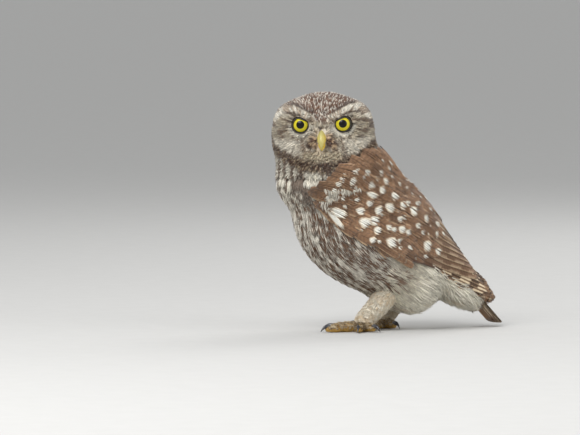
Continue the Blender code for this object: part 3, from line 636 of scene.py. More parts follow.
def vane_finish(colours):
    """Vanes by their own map, in centimetres: x across from the shaft, y from the tip towards the root.
    A white drop, narrower and softer towards the root, sits near the tip, pale notches cut into the
    outer web, a thin pale line edges it, fine barbs slant from the shaft, and painted shade darkens the
    vane towards its root. The piece's attributes say how large each of these is."""
    f = Finish("vane")
    where = f.object_place()
    x, y, _ = f.parts(f.node("ShaderNodeUVMap", {"uv_map": "Vane"})["UV"])
    wide, tall, up = f.parts(f.attribute("drop", "Vector"))
    notch, phase, edge = f.parts(f.attribute("marks", "Vector"))
    half, tone, warmth = f.parts(f.attribute("vane", "Vector"))
    wobble = f.noise(where, 700.0, 2.0) - 0.5
    side = x.math("ABSOLUTE")
    dy = (y - up) / tall
    dx = x / wide * (1.0 + dy.clamp() * 0.5)
    radius = (dx * dx + dy * dy).math("SQRT") + wobble * 0.5
    soft = dy.clamp() * 0.35
    drop = 1.0 - ((radius - 0.84 + soft) / (soft + 0.24)).clamp()
    core = 1.0 - radius.rises(0.5, 1.0)
    stripe = ((y / 1.7 + phase + wobble * 0.2).math("FRACT") - 0.5).math("ABSOLUTE").rises(0.2, 0.27)
    outer = (x / half * -1.0 + wobble * 0.3).rises(0.5, 0.64)
    bar = stripe * outer * notch
    fringe = (side / half + wobble * 0.35).rises(0.76, 0.94) * edge
    tip_edge = (1.0 - y.rises(0.03, 0.16)) * edge
    barbs = ((y * 1.0 + side * 0.8) * 24.0 + wobble * 2.0).math("SINE")
    shaft = 1.0 - side.rises(0.012, 0.03)
    mottle = f.noise(where, 150.0, 3.0, 0.65)
    base = f.blend(tone, colours["brown"], colours["dark_brown"])
    base = f.blend((warmth * mottle * 1.3).clamp(), base, colours["warm_brown"])
    base = f.blend((barbs * 0.5 + 0.5) * 0.25, base, colours["dark_brown"])
    # Painted shade: the vane darkens from the tip towards its root, where the feathers above would shade it.
    base = f.blend(y.rises(0.4, 1.4) * 0.45, base, colours["dark_brown"])
    base = f.blend((stripe * notch * 0.4).clamp(), base, colours["warm_brown"])
    base = f.blend((fringe + tip_edge).clamp() * 0.75, base, colours["buff"])
    base = f.blend(bar, base, colours["cream"])
    base = f.blend(shaft * 0.5, base, colours["dark_brown"])
    base = f.blend(drop, base, colours["cream"])
    base = f.blend(core, base, colours["white"])
    height = barbs * 0.35 + shaft * 1.2 + mottle
    return f.surface(Base_Color=base, Roughness=0.7, Specular_IOR_Level=0.22, Sheen_Weight=0.15,
                     Normal=f.bump(height, 0.4, 0.0003))


def eye_finish():
    """A black pupil, a yellow iris with a darker ring half way out and fine spokes, a dark outer rim."""
    f = Finish("eye")
    x, y, _ = f.parts(f.node("ShaderNodeUVMap", {"uv_map": "Iris"})["UV"])
    where = f.object_place()
    radius = (x * x + y * y).math("SQRT")
    spokes = f.noise(f.node("ShaderNodeCombineXYZ", {}, {"X": y.math("ARCTAN2", x) * 9.0, "Y": radius})
                     ["Vector"], 3.0, 2.0)
    ramp = f.node("ShaderNodeValToRGB", {"stops": (
        (0.0, (0.002, 0.002, 0.002)), (0.355, (0.002, 0.002, 0.002)), (0.375, tuple(rgb(176, 166, 30))),
        (0.47, tuple(rgb(222, 208, 48))), (0.51, tuple(rgb(168, 150, 24))),
        (0.55, tuple(rgb(226, 212, 56))), (0.655, tuple(rgb(196, 180, 34))),
        (0.69, (0.02, 0.015, 0.008)))}, {"Fac": radius})["Color"]
    iris = f.blend((spokes - 0.4).clamp() * 0.7, ramp, (0.35, 0.28, 0.01), "MULTIPLY")
    covered = (y - x * LID_SLOPE - (LID_HEIGHT / EYE_RADIUS - PUPIL_UP)).rises(0.0, 0.03)
    iris = f.blend(covered, iris, (0.012, 0.01, 0.009))
    return f.surface(Base_Color=iris, Roughness=0.3 + spokes * 0.05, Specular_IOR_Level=0.1, Coat_Weight=0.35,
                     Coat_Roughness=0.03, Normal=f.bump(f.noise(where, 800.0), 0.02, 0.0002))


def lid_finish():
    f = Finish("lid")
    grain = f.noise(f.object_place(), 1800.0, 3.0)
    colour = f.blend(grain, (0.006, 0.005, 0.005), (0.03, 0.026, 0.022))
    return f.surface(Base_Color=colour, Roughness=0.45, Normal=f.bump(grain, 0.4, 0.0002))


def bill_finish():
    """Horn: yellow at the sides and the tip, greener along the ridge, with fine lengthwise wear."""
    f = Finish("bill")
    where = f.object_place()
    ridge, along, _ = f.parts(f.attribute("ridge", "Vector"))
    grain = f.noise(where, 420.0, 4.0, 0.6)
    colour = f.blend((ridge + (grain - 0.5) * 0.4).clamp(), tuple(rgb(226, 190, 50)),
                     tuple(rgb(176, 166, 96)))
    colour = f.blend((1.0 - along * 2.2).clamp() * 0.8, colour, tuple(rgb(112, 110, 84)))
    colour = f.blend(grain.rises(0.62, 0.8) * 0.3, colour, tuple(rgb(232, 214, 120)))
    return f.surface(Base_Color=colour, Roughness=0.3 + grain * 0.15, Coat_Weight=0.25,
                     Coat_Roughness=0.2, Normal=f.bump(grain, 0.12, 0.0003))


def claw_finish():
    """Blue-black horn that pales a little at the root, with long fine wear."""
    f = Finish("claw")
    where = f.object_place()
    _, along, _ = f.parts(f.attribute("ridge", "Vector"))
    grain = f.noise(where, 700.0, 3.0, 0.6)
    colour = f.blend(along.rises(0.0, 0.5), tuple(rgb(96, 98, 104)), tuple(rgb(34, 34, 40)))
    colour = f.blend(grain.rises(0.55, 0.75) * 0.35, colour, tuple(rgb(128, 130, 138)))
    return f.surface(Base_Color=colour, Roughness=0.22 + grain * 0.15, Coat_Weight=0.4,
                     Coat_Roughness=0.15, Normal=f.bump(grain, 0.15, 0.0002))


def toe_finish():
    """Yellow-brown skin in small plates: the cells of a Voronoi pattern stand up from dark seams."""
    f = Finish("toe_skin")
    where = f.object_place()
    cells = f.node("ShaderNodeTexVoronoi", {"feature": "DISTANCE_TO_EDGE"},
                   {"Vector": where, "Scale": 850.0})["Distance"]
    _, _, height = f.parts(where)
    plate = cells.rises(0.0, 0.12)
    mottle = f.noise(where, 260.0, 3.0)
    colour = f.blend(mottle, tuple(rgb(196, 152, 66)), tuple(rgb(150, 118, 70)))
    colour = f.blend(1.0 - plate, colour, tuple(rgb(92, 66, 38)))
    colour = f.blend((1.0 - height.rises(0.0006, 0.0035)) * mottle, colour, tuple(rgb(204, 160, 66)))
    return f.surface(Base_Color=colour, Roughness=0.55, Normal=f.bump(plate + mottle * 0.5, 0.5, 0.0003))


def floor_finish():
    f = Finish("floor")
    grain = f.noise(f.object_place(), 60.0, 4.0)
    colour = f.blend(grain, (0.52, 0.515, 0.50), (0.56, 0.555, 0.54))
    return f.surface(Base_Color=colour, Roughness=0.85, Normal=f.bump(grain, 0.05, 0.001))


def brow_height(across):
    """The middle of the white brow over the distance from the face's middle."""
    return np.minimum(9.5 + 0.52 * across, 19.4) - 0.9 * np.maximum(across - 26.0, 0)


def collar_height(across):
    return -19.5 + 0.0125 * across ** 2


def head_colours(p, seed_share, across_share, along):
    """Colours of the head from places in the head's own axes: a pale disc with brown lines that run out from
    the eyes, white brows under a dark line and over a painted shadow, a crown of white drops, brown bristles
    beside the bill, white cheeks and a dark collar. The shares place a point on its own feather."""
    q = to_head(p)
    a, forward, z = q[..., 0], q[..., 1], q[..., 2]
    side = np.abs(a)
    fine = noise(q, 1.1, 3)
    rough = noise(q, 3.2, 4)
    eye = np.stack([side - EYE_ACROSS, z - EYE_UP], -1)
    round_eye = np.arctan2(eye[..., 1], eye[..., 0])
    eye_far = np.linalg.norm(eye, axis=-1)
    line = noise(np.stack([round_eye * 9.0, eye_far * 0.25, np.sign(a)], -1), 1.0, 5)
    face = mix(rgb(224, 216, 200), rgb(190, 176, 150), rough)
    face = mix(face, rgb(104, 78, 56), smooth(0.5, 0.7, line) * 0.8)
    face = mix(face, rgb(226, 220, 204), smooth(0.55, 0.9, fine) * 0.6)
    ear = smooth(18, 25, side) * band(z, 5.0, 8.0, 4.0)
    face = mix(face, mix(rgb(158, 146, 124), rgb(104, 84, 64), smooth(0.4, 0.8, line)), ear * 0.75)
    cheek = band(z + 6.5 - 0.10 * (side - 25), 0, 4.6, 2.2)
    cheek = cheek * smooth(13, 19, side) * (1 - smooth(32, 36, side))
    face = mix(face, mix(WHITE, rgb(196, 184, 160), rough * 0.5), cheek * 0.9)
    under = band(eye_far, 7.4, 1.6, 1.2) * (z < EYE_UP)
    face = mix(face, rgb(206, 202, 188), under * 0.8)
    lore = np.exp(-((side - 5.8) / 3.6) ** 2 - ((z + 3.5) / 5.5) ** 2) + 0.6 * np.exp(
        -((side - 9.5) / 3.0) ** 2 - ((z + 6.0) / 2.6) ** 2)
    face = mix(face, mix(rgb(84, 56, 38), rgb(190, 164, 132), smooth(0.45, 0.6, line)), lore * 1.2)
    chin = (1 - smooth(10, 17, side)) * smooth(-9, -12, z) * smooth(-25, -21, z)
    arcs = 0.5 + 0.5 * np.sin((np.hypot(a, z + 2) + rough * 1.6) * 2.6)
    face = mix(face, mix(rgb(196, 184, 158), rgb(126, 102, 78), smooth(0.65, 1, arcs) * 0.8), chin)
    high = brow_height(side)
    above = smooth(high + 2.2, high + 3.4, z + (rough - 0.5) * 1.4)
    above = np.maximum(above, (1 - smooth(3.5, 6.0, side)) * smooth(9.0, 11.5, z))
    above = np.where(forward < -2.0, 1.0, above)
    drops = band(across_share, 0, 0.42, 0.12) * band(along, 0.78, 0.2, 0.06)
    crown = mix(rgb(120, 82, 58), rgb(90, 60, 40), rough)
    crown = mix(crown, rgb(160, 120, 90), smooth(0.6, 0.9, fine) * 0.5)
    crown = mix(crown, WHITE, drops * smooth(0.12, 0.3, seed_share))
    colour = mix(face, crown, above)
    brow = band(z, high, 1.7 + 1.0 * smooth(20, 30, side), 0.8)
    brow = brow * smooth(3.0, 6.0, side) * (1 - smooth(31, 35, side))
    brow = brow * smooth(0, 6, forward)
    colour = mix(colour, mix(WHITE, rgb(150, 122, 92), smooth(0.5, 0.7, line) * 0.7), brow)
    dark = band(z, high + 3.2, 0.9, 0.6) * smooth(6, 9, side) * (1 - smooth(21, 25, side))
    # Painted shadow: a second dark line just under the brow, above the eye, stands for the shade under the
    # brow's edge.
    dark = np.maximum(dark, band(z, high - 2.9, 0.7, 0.5) * smooth(6, 9, side) * (1 - smooth(24, 28, side)))
    colour = mix(colour, rgb(72, 50, 36), dark * smooth(0, 6, forward) * 0.85)
    spot = bump(a, z, (-0.9, 5.6), (1.7, 1.9))
    colour = mix(colour, rgb(60, 46, 38), smooth(0.3, 0.8, spot) * smooth(10, 20, forward))
    edge = collar_height(side) + (rough - 0.5) * 3.0
    collar = smooth(edge + 3.0, edge, z) * smooth(-6, 4, forward)
    mottled = mix(rgb(84, 60, 44), rgb(170, 152, 124), smooth(0.52, 0.72, fine))
    colour = mix(colour, mottled, collar)
    below = smooth(edge - 4.0, edge - 8.0, z)
    nape = smooth(2.0, -6.0, z - 0.2 * forward) * smooth(4, -6, forward)
    return colour, below * smooth(-6, 4, forward), nape


def behind(p):
    """How far a place is behind the body's middle line."""
    line = np.array(BODY_LINE)
    return (p[..., 0] - np.interp(p[..., 2], line[:, 1], line[:, 0])) * 0.75


def body_colours(p, share, across_share, along, streak):
    """Colours of the trunk: white or cream below with dark streaks that thin out towards the belly,
    a grey-brown band of painted shade on the flank under the wing's edge, brown with pale drops on the back."""
    y, z = p[..., 1], p[..., 2]
    fine = noise(p, 1.3, 13)
    down = (p - np.array([0.0, 0, 92.0])) @ np.array([WING_WAY[0], 0, WING_WAY[2]])
    dorsal = (p - WING_START) @ WING_DORSAL
    belly = smooth(38, 66, down + 0.3 * np.abs(y)) * smooth(20, -6, dorsal)
    pale = mix(mix(rgb(214, 208, 196), WHITE, fine), mix(rgb(224, 216, 186), WHITE, fine * 0.7),
               smooth(10, 50, down))
    dark = mix(rgb(82, 58, 40), rgb(124, 92, 66), fine)
    reach_in = 0.5 - 0.2 * smooth(20, 60, down) + 0.25 * (share - 0.5)
    mark = band(across_share, 0, reach_in, 0.12) * band(along, 0.66, 0.22, 0.06)
    colour = mix(pale, dark, mark * smooth(0.44, 0.52, streak))
    # Painted shade: the root half of each feather is darkened, where the feathers above would shade it.
    colour = mix(colour, mix(rgb(128, 104, 82), dark, share), smooth(0.44, 0.2, along) * 0.5)
    # Painted shade: a grey-brown band, broken by the streaks, on the flank just under the wing's lower edge.
    flank = np.exp(-((dorsal + 7.0) / 9.0) ** 2) * smooth(10, 26, down) * (1 - smooth(60, 80, down))
    colour = mix(colour, mix(rgb(150, 134, 112), rgb(112, 86, 64), smooth(0.4, 0.8, streak)), flank * 0.5)
    warm = smooth(0.55, 0.8, noise(p, 9.0, 17)) * smooth(30, 14, np.abs(y) + 0.5 * (z - 30))
    colour = mix(colour, mix(rgb(232, 228, 208), WHITE, fine), belly)
    colour = mix(colour, rgb(206, 170, 122), warm * belly * 0.35)
    back = smooth(2, 12, behind(p))
    plain = mix(mix(BROWN, DARK_BROWN, fine * 0.6), WARM_BROWN, share * 0.6)
    drop = band(across_share, 0, 0.4, 0.12) * band(along, 0.75, 0.17, 0.06) * smooth(0.35, 0.4, share)
    return mix(colour, mix(plain, WHITE, drop), back)


def coat_colours(p, share, across_share, along, streak):
    """The markings of the whole coat, shared by the skin and the feathers on it."""
    head, below, nape = head_colours(p, share, across_share, along)
    body = body_colours(p, share, across_share, along, streak)
    fine = noise(p, 1.5, 21)
    throat = mix(mix(GREY_WHITE, WHITE, fine), rgb(90, 64, 46), smooth(0.45, 0.62, streak) * 0.85)
    spots = band(across_share, 0, 0.5, 0.15) * band(along, 0.76, 0.22, 0.08)
    neck = mix(mix(BROWN, DARK_BROWN, fine), WHITE, spots * smooth(0.3, 0.4, share))
    z = p[..., 2]
    body = mix(body, throat, smooth(88, 104, z) * smooth(8, -2, behind(p)))
    head = mix(head, throat, below)
    head = mix(head, neck, nape)
    return mix(body, head, smooth(108.0, 116.0, z))


def flow_streak(rows, columns, seed):
    """Noise drawn out along the lie of the feathers, from places in the coat's own grid."""
    place = np.stack([np.cos(columns * 2 * math.pi) * 18.0, np.sin(columns * 2 * math.pi) * 18.0,
                      rows * 9.0], -1)
    return noise(place, 1.0, seed)


def lie(p):
    """Which way feathers lie: out from the bill and the eyes over the head, towards the tail below."""
    q = to_head(p)
    from_bill = unit(q - np.array([0.0, 30.0, -1.0]))
    nearest = np.stack([np.sign(q[..., 0]) * EYE_ACROSS, np.full(q.shape[:-1], EYE_FORWARD),
                        np.full(q.shape[:-1], EYE_UP)], -1)
    off = q - nearest
    off[..., 1] = 0
    near = np.exp(-(np.linalg.norm(off, axis=-1) / 10.0) ** 2)[..., None] * (q[..., 1:2] > 0)
    head = unit(unit(off) * near * 1.6 + from_bill * (1 - near)) @ HEAD_AXES
    head = unit(head + np.array([0.0, 0, -0.9]) * smooth(6, -14, q[..., 2])[..., None])
    t = np.clip((p[..., 2] - 26.5) / 100.0, 0, 1)
    _, way = along_curve(BODY_LINE, t)
    body = -np.stack([way[..., 0], np.zeros_like(t), way[..., 1]], -1)
    share = smooth(104.0, 122.0, p[..., 2])[..., None]
    return unit(head * share + body * (1 - share))


class Shafts:
    """Feather shafts that follow a surface: places, ways, outward normals and sides, row by row."""

    def __init__(self, field, roots, ways, lengths, rise, rows=6):
        place, way = roots, ways
        kept = []
        for k in range(rows):
            normal = outward(field, place)
            way = unit(way - normal * (way * normal).sum(-1, keepdims=True))
            kept.append((place, way, normal))
            place = place + way * (lengths / (rows - 1))[:, None]
            target = rise((k + 1) / (rows - 1))
            place = place - normal * (field(place) - target)[:, None]
        self.place, self.way, self.normal = (np.stack(part, 1) for part in zip(*kept))
        self.side = np.cross(self.normal, self.way)
        self.rows = rows

    def at(self, which, share):
        """One of the four, read at shares along the shafts: share has the shafts on its first axis."""
        table = getattr(self, which)
        x = np.clip(share, 0, 1) * (self.rows - 1)
        i = np.minimum(x.astype(int), self.rows - 2)
        f = (x - i)[..., None]
        first = np.arange(len(table)).reshape((-1,) + (1,) * (share.ndim - 1))
        return table[first, i] * (1 - f) + table[first, i + 1] * f


EVEN_STEP = (0.7548776662, 0.5698402910)
PATCH = 0.003
LOCK_ROWS = np.array([0.0, 0.3, 0.6, 0.84])
LOCK_TAPER = np.array([0.8, 1.0, 0.86, 0.5])


def lock_faces():
    """Faces of one lock: rings of three points, a cap at the root and a point at the tip."""
    return tube_faces(len(LOCK_ROWS), 3)


def fans(place, lengths, half_widths, locks, thick, rng, loose=0.25, lift=0.35, opening=0.42, cover=1.5):
    """Feathers as fans of closed tapering locks. Lock j leaves the shaft by half_width times its share
    across, opening towards the middle, and the outer locks end earlier. place(along, x, height) gives
    points, sides and normals for shares along, and x and height in millimetres. Returns the points of
    shape (feathers, locks, points, 3), and for each its share across and along and its x."""
    count = len(lengths)
    across = np.linspace(-1, 1, locks)[None] + rng.uniform(-0.8, 0.8, (count, locks)) / locks
    end = 1 - 0.2 * across ** 2 - rng.uniform(0, 0.16, (count, locks))
    along = np.concatenate([LOCK_ROWS, [1.0]])[None, None] * end[..., None]
    opened = opening + (1 - opening) * smooth(0, 0.55, along) - 0.16 * smooth(0.7, 1, along)
    x = half_widths[:, None, None] * across[..., None] * opened
    x = x + rng.normal(0, loose, (count, locks))[..., None] * along ** 2
    height = (rng.uniform(0, lift, (count, locks))[..., None] * along
              - 0.10 * half_widths[:, None, None] * across[..., None] ** 2)
    centre, side, normal = place(along, x, height)
    wide = (half_widths[:, None] / locks * cover)[..., None] * LOCK_TAPER
    ring = centre[:, :, :-1, None]
    s, n = side[:, :, :-1, None], normal[:, :, :-1, None]
    w, h = wide[..., None, None], thick * LOCK_TAPER[:, None, None]
    corners = np.concatenate([ring + s * w, ring + n * h, ring - s * w - n * 0.02], 3)
    points = np.concatenate([corners.reshape(count, locks, -1, 3), centre[:, :, :1] - normal[:, :, :1] * 0.1,
                             centre[:, :, -1:]], 2)

    def spread_out(rings, middle):
        """Values of the rings' three points, then of the root and the tip."""
        three = np.stack([rings[..., :-1] + middle, rings[..., :-1], rings[..., :-1] - middle], -1)
        return np.concatenate([three.reshape(count, locks, -1), rings[..., :1], rings[..., -1:]], -1)

    share_along = spread_out(along, 0.0)
    share_across = np.broadcast_to(across[..., None], share_along.shape)
    return points, share_across, share_along, spread_out(x, wide)


def on_shafts(shafts):
    """The place function of feathers on a followed surface."""
    def place(along, x, height):
        side, normal = shafts.at("side", along), shafts.at("normal", along)
        return shafts.at("place", along) + side * x[..., None] + normal * height[..., None], side, normal
    return place


def repeat_faces(faces, count, size):
    """The faces of one shape of size points, repeated for count copies."""
    step = (np.arange(count) * size)[:, None, None]
    return [(part[None] + step).reshape(-1, part.shape[1]) for part in faces]


def patch_map(roots, across, along):
    """A feather's place in the baked map: a patch 0.003 wide at its root's place on the skin's unwrap."""
    low, high = roots.min(0), roots.max(0)
    corner = (roots - low) / np.maximum(high - low, 1e-6) * 0.995
    shape = (len(roots),) + (1,) * (across.ndim - 1) + (2,)
    local = np.stack([across * 0.5 + 0.5, along], -1) * PATCH
    return corner.reshape(shape) + np.clip(local, 0, PATCH)


def spread(k, first, second):
    """Two numbers from 0 to 1 for each k that fill the square evenly, from the given starts."""
    return (k * EVEN_STEP[0] + first) % 1.0, (k * EVEN_STEP[1] + second) % 1.0


def closed_grid(grid):
    """The grid with its first column again after its last."""
    return np.concatenate([grid, grid[:, :1]], 1)


def cell_areas(grid):
    closed = closed_grid(grid)
    u = closed[1:, :-1] - closed[:-1, :-1]
    v = closed[:-1, 1:] - closed[:-1, :-1]
    return np.linalg.norm(np.cross(u, v), axis=-1)


def spread_roots(grid, weight, count, start):
    """Roots spread evenly over a grid surface by a density: a low-discrepancy sequence read through the
    running sums of cell area times density, first of the rows and then along the row. Returns grid
    rows and columns as fractions of the grid."""
    rows, columns = grid.shape[:2]
    mass = cell_areas(grid) * weight[:-1]
    first, second = spread(np.arange(start, start + count), 0.5, 0.5)
    by_row = np.concatenate([[0], np.cumsum(mass.sum(1))])
    r = np.interp(first * by_row[-1], by_row, np.arange(rows))
    i = np.minimum(r.astype(int), rows - 2)
    running = np.concatenate([np.zeros((rows - 1, 1)), np.cumsum(mass, 1)], 1)
    aim = second * running[i, -1]
    c = (running[i] < aim[:, None]).sum(1) - 1
    c = np.clip(c, 0, columns - 1)
    inside = (aim - running[i, c]) / np.maximum(running[i, c + 1] - running[i, c], 1e-9)
    return r, c + inside


class Coat:
    """The body's grid of the skin, and what is worked out from it once."""

    def __init__(self, level=-2.2, rows=170, sides=180):
        self.level = level
        self.grid = body_surface(level, rows, sides)
        self.rows, self.sides = rows, sides
        self.row_share, self.column_share = np.meshgrid(np.linspace(0, 1, rows),
                                                        np.arange(sides) / sides, indexing="ij")

    def place(self, r, c):
        return look_up(closed_grid(self.grid), r, c)


WING_EDGE_U = (-8, -2, 6, 17, 40, 63, 80, 100, 112)
WING_EDGE_LOW = (5, -2, -7.5, -11.5, -11.5, -10.5, -7, -5.5, -5)
WING_EDGE_HIGH = (9, 15, 22, 31, 45, 50, 45.5, 36, 29.5)


def wing_edge(u):
    """The lowest and highest v of the folded wing's coverts at u."""
    return np.interp(u, WING_EDGE_U, WING_EDGE_LOW), np.interp(u, WING_EDGE_U, WING_EDGE_HIGH)


def under_wing(p, margin):
    """True where a place is covered by a closed wing, drawn in by a margin."""
    found = np.zeros(p.shape[:-1], bool)
    for side in (1, -1):
        u, v = wing_place(p, side)
        low, high = wing_edge(u)
        same = p[..., 1] * -side > 0
        found |= same & (u > -6 + margin) & (u < 125) & (v > low + margin) & (v < high - margin)
    return found


def eye_distance(p):
    """How far a place is from the nearer eye's axis, or 99 where it isn't on the front of the head."""
    q = to_head(p)
    off = np.stack([np.abs(q[..., 0]) - EYE_ACROSS, q[..., 2] - EYE_UP], -1)
    return np.where(q[..., 1] > 4, np.linalg.norm(off, axis=-1), 99.0)


def on_bill(p):
    q = to_head(p)
    height = q[..., 2]
    return (np.abs(q[..., 0]) < 2.9) & (q[..., 1] > 8) & (height < BILL_TOP + 0.6) & (height > -9.5)


def flipped(faces):
    return [part[:, ::-1] for part in faces]


def sheet_faces(rows, columns):
    """A thin closed lens: a grid above and a grid below that share their rim."""
    top = np.arange(rows * columns).reshape(rows, columns)
    low = top.copy()
    low[1:-1, 1:-1] = rows * columns + np.arange((rows - 2) * (columns - 2)).reshape(rows - 2, columns - 2)
    quads = lambda g: np.stack([g[:-1, :-1], g[:-1, 1:], g[1:, 1:], g[1:, :-1]], -1).reshape(-1, 4)
    return [np.concatenate([quads(top), quads(low)[:, ::-1]])]


def sheet_points(top, low):
    """The points of such a lens from its two grids, which may have copies of it on their first axes."""
    shape = top.shape[:-3]
    return np.concatenate([top.reshape(shape + (-1, top.shape[-1])),
                           low[..., 1:-1, 1:-1, :].reshape(shape + (-1, top.shape[-1]))], -2)


def vane_outline(lengths, half_widths, rows, columns, tip_round=1.0):
    """Places on flat vanes: along = t L, less a rounding W (1 - sqrt(1 - s^2)) that grows towards the
    tip, and across = s W, narrower at the root. Returns along, across, t and s."""
    t = np.linspace(0, 1, rows) ** 0.85
    s = np.sin(np.linspace(-0.5, 0.5, columns) * math.pi * 0.94)
    t, s = np.meshgrid(t, s, indexing="ij")
    length, width = lengths[:, None, None], half_widths[:, None, None]
    rounding = tip_round * (1 - np.sqrt(1 - (0.98 * s) ** 2)) * t ** 2
    along = t * length - rounding * width
    across = s * width * (0.6 + 0.4 * smooth(0, 0.45, t)) * (1 - 0.08 * smooth(0.85, 1, t))
    return along, across, np.broadcast_to(t, along.shape), np.broadcast_to(s, along.shape)


def cell_map(count, order, across, along):
    """A square cell of the baked map for each vane, in the order of the roots."""
    side = math.ceil(math.sqrt(count))
    rank = np.empty(count, int)
    rank[order] = np.arange(count)
    corner = np.stack([rank % side, rank // side], -1) / side
    local = np.stack([across * 0.47 + 0.5, along * 0.94 + 0.03], -1) / side
    return corner[:, None, None] + local


class Vanes:
    """A set of vanes with their places, sizes and markings, joined into one mesh."""

    def __init__(self, rows=7, columns=7):
        self.rows, self.columns = rows, columns

    def build(self, name, place, lengths, half_widths, marks, material, slot, thick=0.3, tip_round=1.0,
              flip=True, replaces=()):
        """place(along, across, t, s, lift) gives points; marks holds drop, marks and vane vectors."""
        along, across, t, s = vane_outline(lengths, half_widths, self.rows, self.columns, tip_round)
        count = len(lengths)
        ridge = thick * (1 - s ** 2) * (1 - 0.6 * t)
        points = sheet_points(place(along, across, t, s, ridge * 0.5),
                              place(along, across, t, s, -ridge * 0.5))
        map_places = np.stack([across / 10, (lengths[:, None, None] - along) / 10], -1)
        vane_map = sheet_points(map_places, map_places)
        baked = cell_map(count, np.arange(count), s, t)
        baked = sheet_points(baked, baked)
        size = points.shape[1]
        faces = repeat_faces(sheet_faces(self.rows, self.columns), count, size)
        extra = {key: np.repeat(value[:, None], size, 1) for key, value in marks.items()}
        faces = flipped(faces) if flip else faces
        return add_piece(name, points, faces, material, slot, uvs={"OFBake": baked, "Vane": vane_map},
                         extra=extra, replaces=replaces)


# The large white drops of the closed wing, as u, v, length and width. The one 20 mm long
# is the white streak on the lower front edge.
WING_DROPS = (
    (3.8, 21.2, 4, 1.8), (12.4, 23.8, 4.5, 2.5), (23.9, 28.3, 5.3, 3.0), (5.7, 17.2, 5.3, 4.6),
    (9.8, 15.3, 3.5, 4.0), (12.2, 21.3, 4.0, 2.6), (19.2, 20.1, 4.8, 4.0), (28.8, 25.6, 6.0, 3.6),
    (28.0, 20.6, 5.7, 4.6), (40.1, 29.0, 4.8, 2.6), (38.4, 21.0, 8.0, 4.6), (22.7, 16.7, 9.7, 3.2),
    (-2.9, 10.1, 4.0, 3.0), (5.7, 8.2, 4.0, 3.0), (-3.5, 4.9, 4.0, 3.4), (15.0, 10.7, 5.0, 3.2),
    (20.1, 6.2, 7.0, 4.6), (23.7, 11.3, 6.6, 4.0), (8.1, -1.3, 12.5, 7.6), (26.4, -0.1, 10.0, 6.6),
    (31.6, 4.3, 10.0, 5.8), (31.2, 10.4, 6.8, 5.6), (37.7, 14.5, 9.0, 4.8), (46.7, 18.4, 7.0, 5.2),
    (49.8, 20.7, 5.0, 3.4), (58.1, 23.5, 5.0, 3.4), (56.1, 17.7, 8.0, 5.6), (68.8, 18.1, 6.6, 4.8),
    (80.8, 20.7, 7.0, 3.8), (36.3, -0.7, 6.6, 5.2), (42.8, 3.3, 6.0, 3.2), (46.8, 3.6, 6.0, 3.0),
    (52.4, 6.0, 7.0, 4.2), (58.2, 6.5, 7.0, 3.8), (49.7, -3.3, 10.5, 6.2), (54.6, -0.5, 5.3, 3.2),
    (77.2, 4.4, 9.4, 6.0), (88.3, 6.0, 8.0, 4.2), (69.3, 9.8, 5.0, 3.0), (81.8, 14.2, 5.0, 3.4),
    (88.3, 18.0, 5.0, 3.2), (36.5, -7.4, 6.0, 4.4), (8.4, -6.8, 20.0, 4.0), (9.5, 4.0, 3.6, 2.4),
    (33.0, 30.5, 4.0, 2.4), (48.0, 11.0, 6.0, 3.4),
    (63.5, 12.0, 6.0, 3.4), (72.0, 26.0, 5.0, 3.0), (47.5, 30.0, 4.5, 2.6), (116.5, 15.5, 8.0, 2.6),
)


def wing_place_function(side, root, way, length, levels):
    """The place function of feathers on the wing: straight in u and v from each root, at a level that
    rises from root to tip."""
    cross = np.stack([-way[:, 1], way[:, 0]], -1)

    def spot(along, x, height):
        far = along * length.reshape((-1,) + (1,) * (along.ndim - 1))
        pick = lambda table: table.reshape((-1,) + (1,) * (along.ndim - 1))
        u = pick(root[:, 0]) + pick(way[:, 0]) * far + pick(cross[:, 0]) * x
        v = pick(root[:, 1]) + pick(way[:, 1]) * far + pick(cross[:, 1]) * x
        level = pick(levels[:, 0]) + pick(levels[:, 1] - levels[:, 0]) * smooth(0, 0.9, along) ** 0.8
        return wing_point(side, u, v, level + height)

    def place(along, x, height):
        centre = spot(along, x, height)
        normal = unit(spot(along, x, height + 0.4) - centre)
        across = (spot(along, x + 0.3, height) - centre) * side
        across = unit(across - normal * (across * normal).sum(-1, keepdims=True))
        return centre, across, normal
    return place


